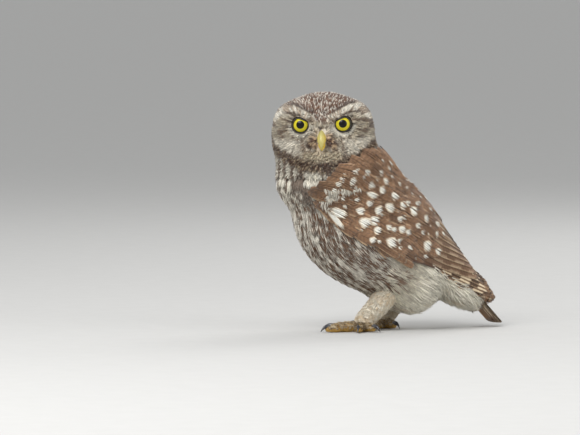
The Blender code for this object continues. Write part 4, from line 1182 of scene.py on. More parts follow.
def make_coverts(side, name, material, rng, sizes):
    """Coverts and scapulars: one under each white drop, and plain ones between, row over row."""
    drops = np.array(WING_DROPS)
    turned = np.where(drops[:, 2] > 15, -26.0, -6.0)
    ahead = np.stack([np.cos(np.radians(turned)), np.sin(np.radians(turned))], -1)
    tip = drops[:, :2] + ahead * (drops[:, 2] / 2 + 1.4)[:, None]
    half = drops[:, 3] / 2 + 2.2
    length = np.maximum(drops[:, 2] + 9.0, 14.0 + 0.05 * tip[:, 0])
    far, up = spread(np.arange(sizes.filler_coverts), 0.2, 0.7)
    u = -4 + 112.0 * far
    low, high = wing_edge(u - 4)
    v = low + 1.0 + (high - low + 1.5) * up
    keep = (v > np.interp(u, (60, 112), (-20, 14))) & (v < high + 3)
    u, v = u[keep], v[keep]
    tip = np.concatenate([tip, np.stack([u, v], -1)])
    half = np.concatenate([half, 3.0 + 2.2 * smooth(0, 60, u) + rng.uniform(-0.4, 0.4, len(u))])
    length = np.concatenate([length, 12.0 + 8.0 * smooth(0, 60, u)])
    count = len(tip)
    spotted = np.arange(count) < len(drops)
    slant = np.radians(-3.0 - 5.0 * smooth(8, 30, tip[:, 1]) + rng.normal(0, 3.0, count))
    slant[:len(drops)] = np.where(drops[:, 2] > 15, np.radians(turned), slant[:len(drops)])
    way = np.stack([np.cos(slant), np.sin(slant)], -1)
    root = tip - way * length[:, None]
    level = 2.3 + 0.8 * smooth(0, 30, tip[:, 1]) + rng.uniform(-0.15, 0.15, count)
    level = level + np.where(spotted, 0.7, -0.2)
    shoulder = smooth(34, 10, tip[:, 0]) * smooth(8, 20, tip[:, 1])
    small = ~spotted & (rng.uniform(0, 1, count) > sizes.plain_share * (1 - 0.7 * shoulder))
    plain = len(u)
    grow = rng.uniform(0.8, 1.3, plain)
    drop_half = np.concatenate([drops[:, 3] / 2 * 1.15, 1.25 * grow]) / 10
    drop_half = np.where(spotted | small, drop_half, 0.0005)
    drop_long = np.concatenate([drops[:, 2] / 2, 2.1 * grow]) / 10
    drop_up = np.concatenate([drops[:, 2] / 2 + 1.1, 1.3 + 2.1 * grow]) / 10
    marks = {
        "drop": np.stack([drop_half, drop_long, drop_up], -1),
        "marks": np.stack([np.zeros(count), np.zeros(count), rng.uniform(0.3, 1.0, count)], -1),
        "vane": np.stack([half / 10, rng.uniform(0.0, 0.5, count), rng.uniform(0.3, 1.0, count)], -1),
    }
    levels = np.stack([np.full(count, 1.6), level], -1)
    place = wing_place_function(side, root, way, length, levels)
    order = np.lexsort((tip[:, 1], np.round(tip[:, 0] / 12)))
    return add_fans(f"wing_{name}_coverts", place, length, half, marks, material, rng, order, locks=11)


def add_fans(name, place, length, half, marks, material, rng, order, locks, thick=0.26, lift=0.14, loose=0.16,
             **options):
    """Fans that carry the map and the attributes of the vane finish, joined into one piece."""
    points, across, along, x = fans(place, length, half, locks, thick, rng, loose, lift, opening=0.7,
                                    cover=2.2)
    count, size = len(length), points.shape[1] * points.shape[2]
    far = (length[:, None, None] * (1 - along)) / 10
    far = far - 0.2 * half[:, None, None] / 10 * across ** 2
    baked = cell_map(count, order, np.clip(across, -1, 1), np.clip(along, 0, 1))
    extra = {key: np.repeat(value[:, None], size, 1) for key, value in marks.items()}
    faces = repeat_faces(lock_faces(), count * locks, points.shape[2])
    return add_piece(name, points, faces, material, "coat_brown",
                     uvs={"OFBake": baked, "Vane": np.stack([x / 10, far], -1)}, extra=extra, **options)


FLIGHT = (
    ("primaries", 8, (152.0, -3.5), (134.0, 14.0), (92.0, -6.0), (80.0, 8.0), (1.2, 2.0)),
    ("secondaries", 9, (132.0, 6.5), (106.0, 30.0), (76.0, -2.0), (60.0, 26.0), (1.3, 2.7)),
    ("tertials", 3, (108.0, 25.0), (92.0, 38.0), (72.0, 22.0), (60.0, 36.0), (1.5, 3.0)),
    ("hand_coverts", 3, (74.0, -10.0), (60.0, -9.0), (46.0, -9.5), (30.0, -8.5), (1.3, 2.6)),
)


def make_flight(side, name, material, rng):
    """Primaries, secondaries, tertials and the coverts of the hand, each row fanned between its first
    and last feather. The primaries have the strongest pale notches."""
    root, tip, level, half, kind = [], [], [], [], []
    for number, (_, count, tip_0, tip_1, root_0, root_1, levels) in enumerate(FLIGHT):
        share = np.linspace(0, 1, count)[:, None]
        tips = np.array(tip_0) * (1 - share) + np.array(tip_1) * share
        roots = np.array(root_0) * (1 - share) + np.array(root_1) * share
        way = unit(tips - roots)
        off = (np.array(tip_1) - tip_0 + np.array(root_1) - root_0) / 2 / max(count - 1, 1)
        width = 0.85 * np.abs(off[0] * way[:, 1] - off[1] * way[:, 0]) + 1.6
        root.append(roots)
        tip.append(tips)
        half.append(width)
        level.append(np.stack([np.full(count, levels[0]), levels[1] + 0.10 * np.arange(count)], -1))
        kind.append(np.full(count, number))
    root, tip, half, level, kind = map(np.concatenate, (root, tip, half, level, kind))
    count = len(root)
    length = np.linalg.norm(tip - root, axis=-1)
    way = unit(tip - root)
    cross = np.stack([-way[:, 1], way[:, 0]], -1)
    notch = np.array([1.0, 0.2, 0.0, 0.0])[kind]
    tone = np.array([1.0, 0.35, 0.1, 0.45])[kind] + rng.uniform(-0.1, 0.1, count)
    marks = {
        "drop": np.stack([np.full(count, 0.0005), np.full(count, 0.25), np.full(count, 0.5)], -1),
        "marks": np.stack([notch, rng.uniform(0, 1, count), np.full(count, 1.0)], -1),
        "vane": np.stack([half / 10, tone, np.full(count, 0.3)], -1),
    }

    def place(along, across, t, s, lift):
        u = root[:, None, None, 0] + way[:, None, None, 0] * along + cross[:, None, None, 0] * across
        v = root[:, None, None, 1] + way[:, None, None, 1] * along + cross[:, None, None, 1] * across
        first, last = level[:, None, None, 0], level[:, None, None, 1]
        return wing_point(side, u, v, first + (last - first) * t ** 0.7 - 0.45 * s + lift)

    return Vanes(16, 7).build(f"wing_{name}_flight", place, length, half, marks, material, "coat_brown",
                              thick=0.4, tip_round=1.3, flip=side > 0)


def make_wing_skin(side, name, material):
    """The folded wing under its feathers: a thin closed sheet over the wing map."""
    along = np.linspace(-8, 112, 60)
    low, high = wing_edge(along)
    share = np.linspace(0.0, 1.0, 24)
    u = np.broadcast_to(along[:, None], (60, 24))
    v = low[:, None] + 0.6 + (high - low - 1.2)[:, None] * share
    top, under = wing_point(side, u, v, 1.75), wing_point(side, u, v, 1.15)
    points = sheet_points(top, under)
    colour = mix(np.broadcast_to(DARK_BROWN, points.shape), BROWN, noise(points, 3.0, 31))
    faces = sheet_faces(60, 24)
    rows = np.broadcast_to(np.linspace(0, 1, 60)[:, None], u.shape)
    baked = np.stack([np.broadcast_to(share, u.shape), rows], -1)
    return add_piece(f"wing_{name}_skin", points, flipped(faces) if side > 0 else faces, material,
                     "coat_brown", uvs={"OFBake": sheet_points(baked, baked)}, colours=colour,
                     replaces=[f"wing_{name}"])


def make_tail(material, rng):
    """Six pairs of tail feathers: the middle pair on top, each further pair below and outside, all with
    pale notches and edges."""
    pairs = 6
    k = np.repeat(np.arange(pairs), 2)
    side = np.tile([1.0, -1.0], pairs)
    spread = side * (k + 0.5)
    length = TAIL_LENGTH - 0.12 * k ** 2 - 1.0
    half = np.full(len(k), 4.6)
    marks = {
        "drop": np.stack([np.full(len(k), 0.0005), np.full(len(k), 0.3), np.full(len(k), 0.5)], -1),
        "marks": np.stack([np.full(len(k), 1.0), rng.uniform(0, 1, len(k)), np.full(len(k), 1.0)], -1),
        "vane": np.stack([half / 10, rng.uniform(0.2, 0.5, len(k)), np.full(len(k), 0.4)], -1),
    }

    def place(along, across, t, s, lift):
        w = spread[:, None, None] * (0.3 + 0.42 * t) + across
        level = -0.62 * k[:, None, None] - 0.25 * (side[:, None, None] > 0) - 0.25 * s ** 2 + lift
        return tail_point(along + 1.0, w, level)

    return Vanes(14, 7).build("tail_feathers", place, length, half, marks, material, "coat_brown",
                              thick=0.34, tip_round=0.9, flip=True, replaces=["tail"])


def make_skin(coat, material):
    """The skin: the coat's outside drawn in by the coat's depth, closed at both ends."""
    grid = coat.grid
    streak = flow_streak(coat.row_share, coat.column_share, 41)
    half = np.full(streak.shape, 0.5)
    colours = coat_colours(grid, half, half * 0.4, half * 1.2, streak)
    ends = np.array([grid[0].mean(0), grid[-1].mean(0)])
    points = np.concatenate([grid.reshape(-1, 3), ends])
    colours = np.concatenate([colours.reshape(-1, 3), colours[0, :1], colours[-1, :1]])
    baked = np.stack([coat.column_share, coat.row_share], -1).reshape(-1, 2)
    baked = np.concatenate([baked, [[0.5, 0.0], [0.5, 1.0]]])
    return add_piece("skin", points, flipped(tube_faces(*grid.shape[:2])), material, "coat_pale",
                     uvs={"OFBake": baked}, colours=colours, replaces=["head", "neck", "torso"])


# Each region's area for one feather, locks, lock height, stray, lift and how much locks differ in shade.
REGIONS = {
    "face": (2.0, 4, 0.34, 0.22, 0.55, 0.25),
    "crown": (2.6, 5, 0.36, 0.16, 0.4, 0.12),
    "neck": (7.0, 8, 0.42, 0.35, 0.8, 0.14),
    "breast": (13.0, 11, 0.42, 0.4, 0.9, 0.12),
    "belly": (8.0, 9, 0.40, 1.5, 3.2, 0.08),
    "back": (10.0, 10, 0.42, 0.3, 0.4, 0.1),
}


def region_of(p):
    """Which region of the coat a place is in, as a number in the order of REGIONS."""
    q = to_head(p)
    z = p[..., 2]
    down = (p - WING_START) @ WING_WAY
    found = np.where(behind(p) > 7, 5, np.where(down + 0.3 * np.abs(p[..., 1]) > 86, 4, 3))
    found = np.where((z > 96) & (found != 4), 2, found)
    head = z > 112 + 0.12 * np.maximum(-q[..., 1], 0)
    found = np.where(head, 1, found)
    return np.where(head & (q[..., 1] > 3) & (q[..., 2] < brow_height(np.abs(q[..., 0])) + 3.0), 0, found)


LENGTHS = np.array([5.0, 6.2, 11.0, 17.0, 20.0, 15.0])
HALF_WIDTHS = np.array([1.1, 1.4, 3.0, 4.2, 4.0, 4.4])
TIP_LEVELS = np.array([0.6, 0.5, 0.6, 0.8, 1.3, 0.9])


def make_coat(coat, material, rng, sizes):
    """Feathers over head and trunk, in one piece for each region and side."""
    region_grid = region_of(coat.grid)
    area = np.array([r[0] for r in REGIONS.values()]) / sizes.density
    weight = 1.0 / area[region_grid]
    total = (cell_areas(coat.grid) * weight[:-1]).sum()
    r, c = spread_roots(coat.grid, weight, int(total), 1)
    p = coat.place(r, c)
    keep = ~under_wing(p, 2.5) & (eye_distance(p) > 6.2) & ~on_bill(p) & (p[:, 2] > FLOOR + 6)
    r, c, p = r[keep], c[keep], p[keep]
    region = region_of(p)
    beside = np.where(region <= 1, to_head(p)[:, 0], -p[:, 1])
    made = []
    for number, (name, (_, locks, thick, loose, lift, uneven)) in enumerate(REGIONS.items()):
        for side, side_name in SIDES.items():
            mine = (region == number) & (np.where(beside >= 0, 1, -1) == side)
            made.append(coat_piece(f"coat_{name}_{side_name}", number, r[mine], c[mine], p[mine], coat,
                                   material, rng, locks, thick, loose, lift, uneven))
    return made


BACK = 5


def mantle_piece(name, shafts, r, c, length, width, locks, rng):
    """Feathers of the back with a pale drop on most of them, in the finish of the wings."""
    count = len(length)
    spotted = rng.uniform(0, 1, count) < 0.55
    size = rng.uniform(0.8, 1.2, count)
    marks = {
        "drop": np.stack([np.where(spotted, 0.17 * size, 0.0005), 0.24 * size, np.full(count, 0.4)], -1),
        "marks": np.stack([np.zeros(count), np.zeros(count), rng.uniform(0.1, 0.5, count)], -1),
        "vane": np.stack([width / 10, rng.uniform(0.0, 0.6, count), rng.uniform(0.2, 1.0, count)], -1),
    }
    return add_fans(name, on_shafts(shafts), length, width, marks, finish_named("vane"), rng,
                    np.lexsort((c, np.round(r / 8))), locks)


def coat_piece(name, number, r, c, p, coat, material, rng, locks, thick, loose, lift, uneven):
    count = len(p)
    length = LENGTHS[number] * rng.uniform(0.85, 1.15, count)
    near_eye = smooth(6.0, 12.0, eye_distance(p))
    length = length * np.where(number == 0, 0.55 + 0.45 * near_eye, 1.0)
    width = HALF_WIDTHS[number] * rng.uniform(0.85, 1.15, count)
    ways = lie(p)
    normal = outward(body_field, p)
    swirl = (noise(p, 14.0, 51) - 0.5) * 0.35 + rng.normal(0, 0.07, count)
    side = np.cross(normal, ways)
    ways = ways + side * swirl[:, None]
    over = (number == 2) & under_wing(p + ways * length[:, None] * 0.7, 0.0)
    tip = np.where(over, 3.4, TIP_LEVELS[number])
    shafts = Shafts(body_field, p, ways, length, lambda t: coat.level + (tip - coat.level) * t ** 0.8)
    if number == BACK:
        return mantle_piece(name, shafts, r, c, length, width, locks, rng)
    points, across, along, _ = fans(on_shafts(shafts), length, width, locks, thick, rng, loose, lift)
    streak = flow_streak(r / coat.rows, c / coat.sides, 41)
    share = rng.uniform(0, 1, count)
    shape = along.shape
    where = points if number <= 1 else 0.5 * points + 0.5 * p[:, None, None]
    colour = coat_colours(where, np.broadcast_to(share[:, None, None], shape), across, along,
                          np.broadcast_to(streak[:, None, None], shape))
    colour = colour * np.exp(rng.normal(-uneven / 2, uneven, (count, locks, 1, 1)))
    baked = patch_map(np.stack([c / coat.sides, r / coat.rows], -1), across, along)
    faces = repeat_faces(lock_faces(), count * locks, points.shape[2])
    return add_piece(name, points, faces, material, "coat_pale", uvs={"OFBake": baked}, colours=colour)


def eye_axes(side):
    """Rows: across, up and the way the eye looks, in the world."""
    splay = turn_matrix(-side * EYE_SPLAY_DEG, (0, 0, 1))
    return np.array([splay @ [1.0, 0, 0], [0, 0, 1.0], splay @ [0, 1.0, 0]]) @ HEAD_AXES


def make_eye(side, name, material):
    """A ball with a slight cornea: its radius grows by a bump of 0.35 mm round the way it looks."""
    rows, sides = 40, 56
    polar = np.linspace(0, math.pi, rows + 2)[1:-1][::-1]
    turn = np.linspace(0, 2 * math.pi, sides, endpoint=False)
    flat = np.sin(polar)[:, None] * np.stack([np.cos(turn), np.sin(turn)], 0)[:, None]
    q = np.stack([flat[0], flat[1], np.broadcast_to(np.cos(polar)[:, None], flat[0].shape)], -1)
    cornea = np.exp(-(np.hypot(q[..., 0], q[..., 1]) / 0.55) ** 4) * (q[..., 2] > 0)
    size = EYE_RADIUS - 0.15 + 0.35 * cornea
    centre = from_head([side * EYE_ACROSS, EYE_FORWARD, EYE_UP])
    axes = eye_axes(side)
    rings = (q * size[..., None]) @ axes + centre
    ends = [centre - axes[2] * (EYE_RADIUS - 0.15), centre + axes[2] * (EYE_RADIUS + 0.2)]
    points = np.concatenate([rings.reshape(-1, 3), ends])
    front = np.where(q[..., 2] > 0, 1.0, 5.0)
    iris = np.stack([side * q[..., 0], q[..., 1] - PUPIL_UP], -1) * front[..., None]
    iris = np.concatenate([iris.reshape(-1, 2), [[9.0, 9.0], [0.0, 0.0]]])
    return add_piece("eye_ball_" + name, points, tube_faces(rows, sides), material, "eye",
                     uvs={"Iris": iris}, replaces=["eye_" + name])


def make_lids(side, name, material):
    """A thick rim that follows the lids' edge on the eyeball: round below, drawn in along a slanting top."""
    turn = np.linspace(0, 2 * math.pi, 72, endpoint=False)
    profile = np.array([(0.0, 0.0), (0.08, 0.55), (0.35, 0.85), (0.65, 0.7), (0.9, 0.2), (0.95, -0.6),
                        (0.5, -0.7)])
    grow, rise = profile[:, 0], profile[:, 1]
    r = LID_OPENING + grow
    across = np.cos(turn)[:, None] * r
    up = np.sin(turn)[:, None] * r
    lowered = LID_HEIGHT + grow + LID_SLOPE * side * across
    up = np.where(up > lowered, lowered + 0.25 * (up - lowered), up)
    out = np.sqrt(np.maximum((EYE_RADIUS + 0.1) ** 2 - across ** 2 - up ** 2, 9.0)) + rise
    centre = from_head([side * EYE_ACROSS, EYE_FORWARD, EYE_UP])
    rings = np.stack([across, up, out], -1) @ eye_axes(side) + centre
    steps, sides = rings.shape[:2]
    index = np.arange(steps * sides).reshape(steps, sides)
    a, b = index, np.roll(index, -1, 1)
    c, d = np.roll(b, -1, 0), np.roll(index, -1, 0)
    faces = np.stack([a, b, c, d], -1).reshape(-1, 4)
    return add_piece("lids_" + name, rings, faces, material, "lid", replaces=["eyelids_" + name])


def make_bill(material):
    """The upper bill swept down along its ridge to a hook, and the lower bill tucked behind it."""
    line = [(19.0, BILL_TOP - 1.5), (24.5, BILL_TOP + 0.2), (28.6, BILL_TOP - 2.6),
            (30.9, BILL_TOP - 7.0), (31.0, BILL_TOP - 11.0), (29.6, BILL_TOP - BILL_LENGTH + 0.6)]
    rows, sides = 26, 24
    t = np.linspace(0, 1, rows)
    path, way = along_curve(line, t)
    knots = np.linspace(0, 1, len(line))
    half = np.interp(t, knots, np.array([2.4, 2.6, 3.3, 3.2, 1.9, 0.15]) * BILL_WIDTH / 8.0)
    depth = np.interp(t, knots, [6.0, 7.0, 6.4, 5.0, 3.2, 0.7])
    inward = np.stack([way[:, 1], -way[:, 0]], -1)
    turn = np.linspace(0, 2 * math.pi, sides, endpoint=False)
    ridge = 0.5 * (1 + np.cos(turn))
    depth_in = (1 - ridge)[None] * depth[:, None]
    across = half[:, None] * np.sin(turn) * (0.55 + 0.45 * (1 - ridge))
    q = np.stack([across, path[:, :1] + inward[:, :1] * depth_in, path[:, 1:] + inward[:, 1:] * depth_in], -1)
    nostril = np.exp(-((np.abs(q[..., 0]) - 3.6) / 1.2) ** 2 - ((q[..., 2] - BILL_TOP + 2.4) / 1.0) ** 2)
    q[..., 0] *= 1 - 0.12 * nostril
    ridge_of = np.broadcast_to(ridge, across.shape)
    along = np.broadcast_to(t[:, None], across.shape)
    extra = np.stack([ridge_of, along, ridge_of * 0], -1).reshape(-1, 3)
    extra = {"ridge": np.concatenate([extra, extra[:1], extra[-1:]])}
    upper = add_tube("bill_upper_horn", from_head(q)[:, ::-1], material, "bill", replaces=["bill_upper"],
                     extra=extra)
    low = [(19.0, BILL_TOP - 6.6), (22.6, BILL_TOP - 8.8), (25.4, BILL_TOP - 11.6), (27.0, BILL_TOP - 13.8)]
    t = np.linspace(0, 1, 14)
    path, _ = along_curve(low, t)
    width = np.interp(t, np.linspace(0, 1, 4), [3.3, 3.0, 2.1, 0.6])
    high = np.interp(t, np.linspace(0, 1, 4), [1.7, 1.6, 1.1, 0.35])[:, None] * np.sin(turn)
    q = np.stack([width[:, None] * np.cos(turn), path[:, :1] + high, path[:, 1:] + high], -1)
    zero = np.zeros((14, sides))
    blank = np.stack([zero, np.broadcast_to(t[:, None], (14, sides)), zero], -1).reshape(-1, 3)
    lower = add_tube("bill_lower_horn", from_head(q), material, "bill", replaces=["bill_lower"],
                     extra={"ridge": np.concatenate([blank, blank[:1], blank[-1:]])})
    return upper, lower


def leg_path(side, steps):
    points = np.array([p for p, _ in LEGS[side]])
    radii = np.array([r for _, r in LEGS[side]])
    t = np.linspace(0, 1, steps)
    return along_curve(points, t)[0], np.interp(t, np.linspace(0, 1, len(radii)), radii)


def chain_field(path, radii, soft=0.35):
    """Distance from a chain of balls along a path, blended by a soft minimum."""
    def field(p):
        d = np.linalg.norm(p[..., None, :] - path, axis=-1) - radii
        low = d.min(-1)
        return low - soft * np.log(np.exp((low[..., None] - d) / soft).sum(-1)) + soft
    return field


def leg_colours(p, along, share, far):
    fine = noise(p, 1.4, 61)
    pale = mix(mix(CREAM, WHITE, 0.5 + fine * 0.5), rgb(214, 186, 146), smooth(0.4, 0.9, share) * 0.6)
    # Painted shade: darker towards each feather's root, and darker all over where far is 1, on the leg that
    # stands in the near leg's shadow.
    return mix(pale, rgb(170, 150, 112), smooth(0.75, 0.1, along) * 0.4 + far * 0.25)


def make_leg(side, name, material, rng, sizes):
    """The feathered leg: a skin round the leg's line and short hairy feathers down it."""
    path, radii = leg_path(side, 40)
    rings = sweep(path, radii - 1.4, radii - 1.4, 40, up=(1.0, 0, 0.2))
    flat = rings.reshape(-1, 3)
    colour = leg_colours(flat, np.full(len(flat), 0.3), np.full(len(flat), 0.5), 0.0)
    colour = np.concatenate([colour, colour[:1], colour[-1:]])
    turn, t = np.meshgrid(np.arange(40) / 40, np.linspace(0, 1, 40))
    baked = np.stack([turn, t], -1).reshape(-1, 2)
    baked = np.concatenate([baked, [[0.5, 0.0], [0.5, 1.0]]])
    skin = add_tube(f"leg_{name}_skin", rings, material, "coat_pale", uvs={"OFBake": baked},
                    colours=colour, replaces=[f"thigh_{name}", f"tarsus_{name}"])
    weight = np.ones((40, 40))
    r, c = spread_roots(rings, weight, sizes.leg_feathers, 5)
    p = look_up(closed_grid(rings), r, c)
    field = chain_field(path, radii)
    _, way = along_curve([q for q, _ in LEGS[side]], r / 39)
    count = len(p)
    length = 5.6 * rng.uniform(0.8, 1.2, count)
    ways = way + rng.normal(0, 0.12, (count, 3))
    shafts = Shafts(field, p, ways, length, lambda t: -1.4 + 1.6 * t ** 0.8, rows=4)
    points, across, along, _ = fans(on_shafts(shafts), length, np.full(count, 1.2), 4, 0.34, rng, 0.35, 0.8)
    share = np.broadcast_to(rng.uniform(0, 1, count)[:, None, None], along.shape)
    # The right leg stands behind and gets painted shade from the near leg.
    colour = leg_colours(points, along, share, 1.0 if side < 0 else 0.0)
    points[..., 2] = np.maximum(points[..., 2], FLOOR + 0.3)
    faces = repeat_faces(lock_faces(), count * 4, points.shape[2])
    baked = patch_map(np.stack([c / 40, r / 39], -1), across, along)
    add_piece(f"leg_{name}_coat", points, faces, material, "coat_pale", uvs={"OFBake": baked},
              colours=colour)
    return skin


def toe_line(side, bearing, length, steps):
    """A toe's middle line from the foot out along its bearing, arched a little, and its radii."""
    a = math.radians(180 + bearing)
    way = np.array([math.cos(a), math.sin(a), 0.0])
    ankle = LEGS[side][-1][0]
    centre = np.array([ankle[0] - 1.0, ankle[1], FLOOR + 3.1])
    t = np.linspace(0, 1, steps)
    knots = np.linspace(0, 1, len(TOE_SWELL))
    radii = TOE_RADIUS * np.interp(t, knots, TOE_SWELL) * (1 - 0.10 * t) * (0.86 + 0.14 * length / 20)
    radii = radii * (1 + 0.05 * np.sin(t * 2 * math.pi * 3.2))
    path = centre + way * (2.0 + length * t[:, None])
    path[:, 2] = FLOOR + 2.5 + 0.8 * np.sin(math.pi * np.minimum(t * 1.1, 1))
    return path, radii, way


def make_foot(side, name, toe_material, claw_material, coat_material, rng, sizes):
    """Toes with swollen pads flat on the floor, hooked claws, and bristly feathers on the upper side."""
    ankle = LEGS[side][-1][0]
    centre = np.array([ankle[0] - 1.0, ankle[1], FLOOR + 3.1])
    chain, sizes_of = [centre[None]], [np.array([5.2])]
    roots, ways = [], []
    for number, bearing, length in TOES[side]:
        path, radii, way = toe_line(side, bearing, length, 30)
        rings = sweep(path, radii, radii * 0.98, 24)
        rings[..., 2] = np.maximum(rings[..., 2], FLOOR)
        add_tube(f"toe_{name}_{number}_skin", rings, toe_material, "toe", end=path[-1] + way * 1.0,
                 replaces=[f"toe_{name}_{number}"])
        t = np.linspace(0, 1, 18)[:, None]
        line = path[-5] + way * t * CLAW_LENGTH * (1 - 0.12 * t)
        line[:, 2] = (FLOOR + 3.7 + 1.4 * np.sin(math.pi * t * 0.75) - 4.0 * t ** 2)[:, 0]
        size = CLAW_RADIUS * np.interp(t[:, 0], np.linspace(0, 1, 6), [1.0, 1.0, 0.9, 0.68, 0.42, 0.12])
        rings = sweep(line, size, size * 1.15, 14)
        along = np.broadcast_to(t, (18, 14))
        extra = np.stack([along * 0, along, along * 0], -1).reshape(-1, 3)
        extra = {"ridge": np.concatenate([extra, extra[:1], extra[-1:]])}
        add_tube(f"claw_{name}_{number}_horn", rings, claw_material, "claw", end=line[-1] + way * 0.2,
                 replaces=[f"claw_{name}_{number}"], extra=extra)
        count = int(sizes.toe_feathers * length / 20)
        share, turn = spread(np.arange(count), 0.3, 0.1)
        share = share * 0.93
        turn = (turn - 0.5) * math.radians(200)
        x = share * 29
        i = np.minimum(x.astype(int), 28)
        f = (x - i)[:, None]
        middle = path[i] * (1 - f) + path[i + 1] * f
        r = np.interp(share, np.linspace(0, 1, 30), radii)
        cross = np.cross(way, [0, 0, 1.0])
        out = np.sin(turn)[:, None] * cross + np.cos(turn)[:, None] * np.array([0, 0, 1.0])
        roots.append(middle + out * (r * 0.92)[:, None])
        ways.append(np.broadcast_to(way, (count, 3)) + out * 0.25)
        chain.append(path)
        sizes_of.append(radii)
    foot = chain_field(np.concatenate(chain), np.concatenate(sizes_of))
    roots, ways = np.concatenate(roots), np.concatenate(ways)
    high = roots[:, 2] > FLOOR + 2.2
    roots, ways = roots[high], ways[high] + rng.normal(0, 0.2, (high.sum(), 3))
    count = len(roots)
    length = 3.4 * rng.uniform(0.7, 1.2, count)
    shafts = Shafts(foot, roots, ways, length, lambda t: -0.3 + 0.9 * t, rows=4)
    points, across, along, _ = fans(on_shafts(shafts), length, np.full(count, 0.7), 3, 0.22, rng, 0.25, 0.4)
    points[..., 2] = np.maximum(points[..., 2], FLOOR + 0.2)
    shade = noise(points, 1.0, 71)
    colour = mix(rgb(206, 190, 156), rgb(150, 122, 86), shade)
    colour = mix(colour, rgb(104, 78, 50), smooth(0.55, 0.75, shade))
    colour = mix(colour, WHITE, smooth(0.7, 1.0, along) * 0.4)
    faces = repeat_faces(lock_faces(), count * 3, points.shape[2])
    baked = patch_map(roots[:, :2], across, along)
    add_piece(f"foot_{name}_coat", points, faces, coat_material, "coat_pale", uvs={"OFBake": baked},
              colours=colour)


def make_heel(side, name, material):
    """The sole's pad under the ankle: a flattened ball on the floor."""
    ankle = LEGS[side][-1][0]
    centre = np.array([ankle[0] - 1.0, ankle[1], FLOOR + 3.1])
    polar = np.linspace(0, math.pi, 22)[1:-1][::-1]
    turn = np.linspace(0, 2 * math.pi, 32, endpoint=False)
    q = np.stack([np.sin(polar)[:, None] * np.cos(turn), np.sin(polar)[:, None] * np.sin(turn),
                  np.broadcast_to(np.cos(polar)[:, None], (20, 32))], -1)
    rings = centre + q * np.array(FOOT_HALF)
    rings[..., 2] = np.maximum(rings[..., 2], FLOOR)
    start = np.array([centre[0], centre[1], FLOOR])
    return add_tube(f"foot_{name}_pad", rings, material, "toe", start=start,
                    end=centre + [0, 0, FOOT_HALF[2]], replaces=[f"foot_{name}"])


class OWL_PG_plumage(bpy.types.PropertyGroup):
    """How the coat is laid."""
    density: FloatProperty(name="Density", description="Feathers for each area of skin, as a factor",
                           default=1.0, min=0.2, max=2.0)
    filler_coverts: IntProperty(name="Filler coverts", default=150, min=0,
                                description="Coverts of each wing besides those of the large drops")
    plain_share: FloatProperty(name="Plain share", default=0.45, min=0.0, max=1.0, subtype="FACTOR",
                               description="Share of those coverts with no drop, away from the shoulder")
    leg_feathers: IntProperty(name="Leg feathers", description="Short feathers on each leg", default=900,
                              min=0)
    toe_feathers: IntProperty(name="Toe feathers", description="Bristly feathers on a toe of 20 mm",
                              default=90, min=0)
    seed: IntProperty(name="Seed", description="Start of the random draws", default=SEED)


def colour_property(name, description, colour):
    return FloatVectorProperty(name=name, description=description, subtype="COLOR", size=3, min=0.0, max=1.0,
                               default=tuple(float(c) for c in colour))


class OWL_PG_colours(bpy.types.PropertyGroup):
    """Colours of the wing and tail feathers."""
    white: colour_property("White", "Middle of the drops", rgb(240, 238, 228))
    cream: colour_property("Cream", "Edges of the drops and the notches", rgb(228, 208, 176))
    buff: colour_property("Buff", "Pale edges of the vanes", rgb(202, 172, 138))
    brown: colour_property("Brown", "Vanes", rgb(136, 102, 76))
    warm_brown: colour_property("Warm brown", "Worn and sunlit vanes", rgb(184, 144, 110))
    dark_brown: colour_property("Dark brown", "Flight feathers and shafts", rgb(58, 42, 32))


class OWL_PG_studio(bpy.types.PropertyGroup):
    """The camera and the lights."""
    azimuth: FloatProperty(name="Azimuth", description="Where the camera stands round the owl",
                           subtype="ANGLE", default=math.radians(-22.0))
    elevation: FloatProperty(name="Elevation", description="How far the camera looks down", subtype="ANGLE",
                             default=math.radians(3.0))
    distance: FloatProperty(name="Distance", description="From the camera to the owl", unit="LENGTH",
                            subtype="DISTANCE", default=4.0, min=0.5)
    frame_width: FloatProperty(name="Frame width", description="Width of the view at the owl", unit="LENGTH",
                               subtype="DISTANCE", default=0.400, min=0.05)
    key: FloatProperty(name="Key light", description="Power of the main light", unit="POWER", default=21.0)
    fill: FloatProperty(name="Fill light", description="Power of the light on the other side", unit="POWER",
                        default=7.0)
    sky: FloatProperty(name="Surround", description="Strength of the pale surround", default=0.72, min=0.0)


MATERIALS = {}


def finish_named(name):
    """Makes each material when a piece first asks for it."""
    if name not in MATERIALS:
        colours = bpy.context.scene.owl_colours
        table = {key: tuple(getattr(colours, key)) for key in
                 ("white", "cream", "buff", "brown", "warm_brown", "dark_brown")}
        makers = {
            "plumage": lambda: plumage_finish("plumage", 0.72, 0.25),
            "vane": lambda: vane_finish(table),
            "eye": eye_finish, "lid": lid_finish, "bill": bill_finish, "claw": claw_finish,
            "toe": toe_finish, "floor": floor_finish,
        }
        MATERIALS[name] = makers[name]()
    return MATERIALS[name]


COAT = {}


def the_coat():
    if "coat" not in COAT:
        COAT["coat"] = Coat()
    return COAT["coat"]


def draws(context, number):
    """Random draws of one operator, so that the order of the operators doesn't matter."""
    return np.random.default_rng(context.scene.owl_plumage.seed * 100 + number)


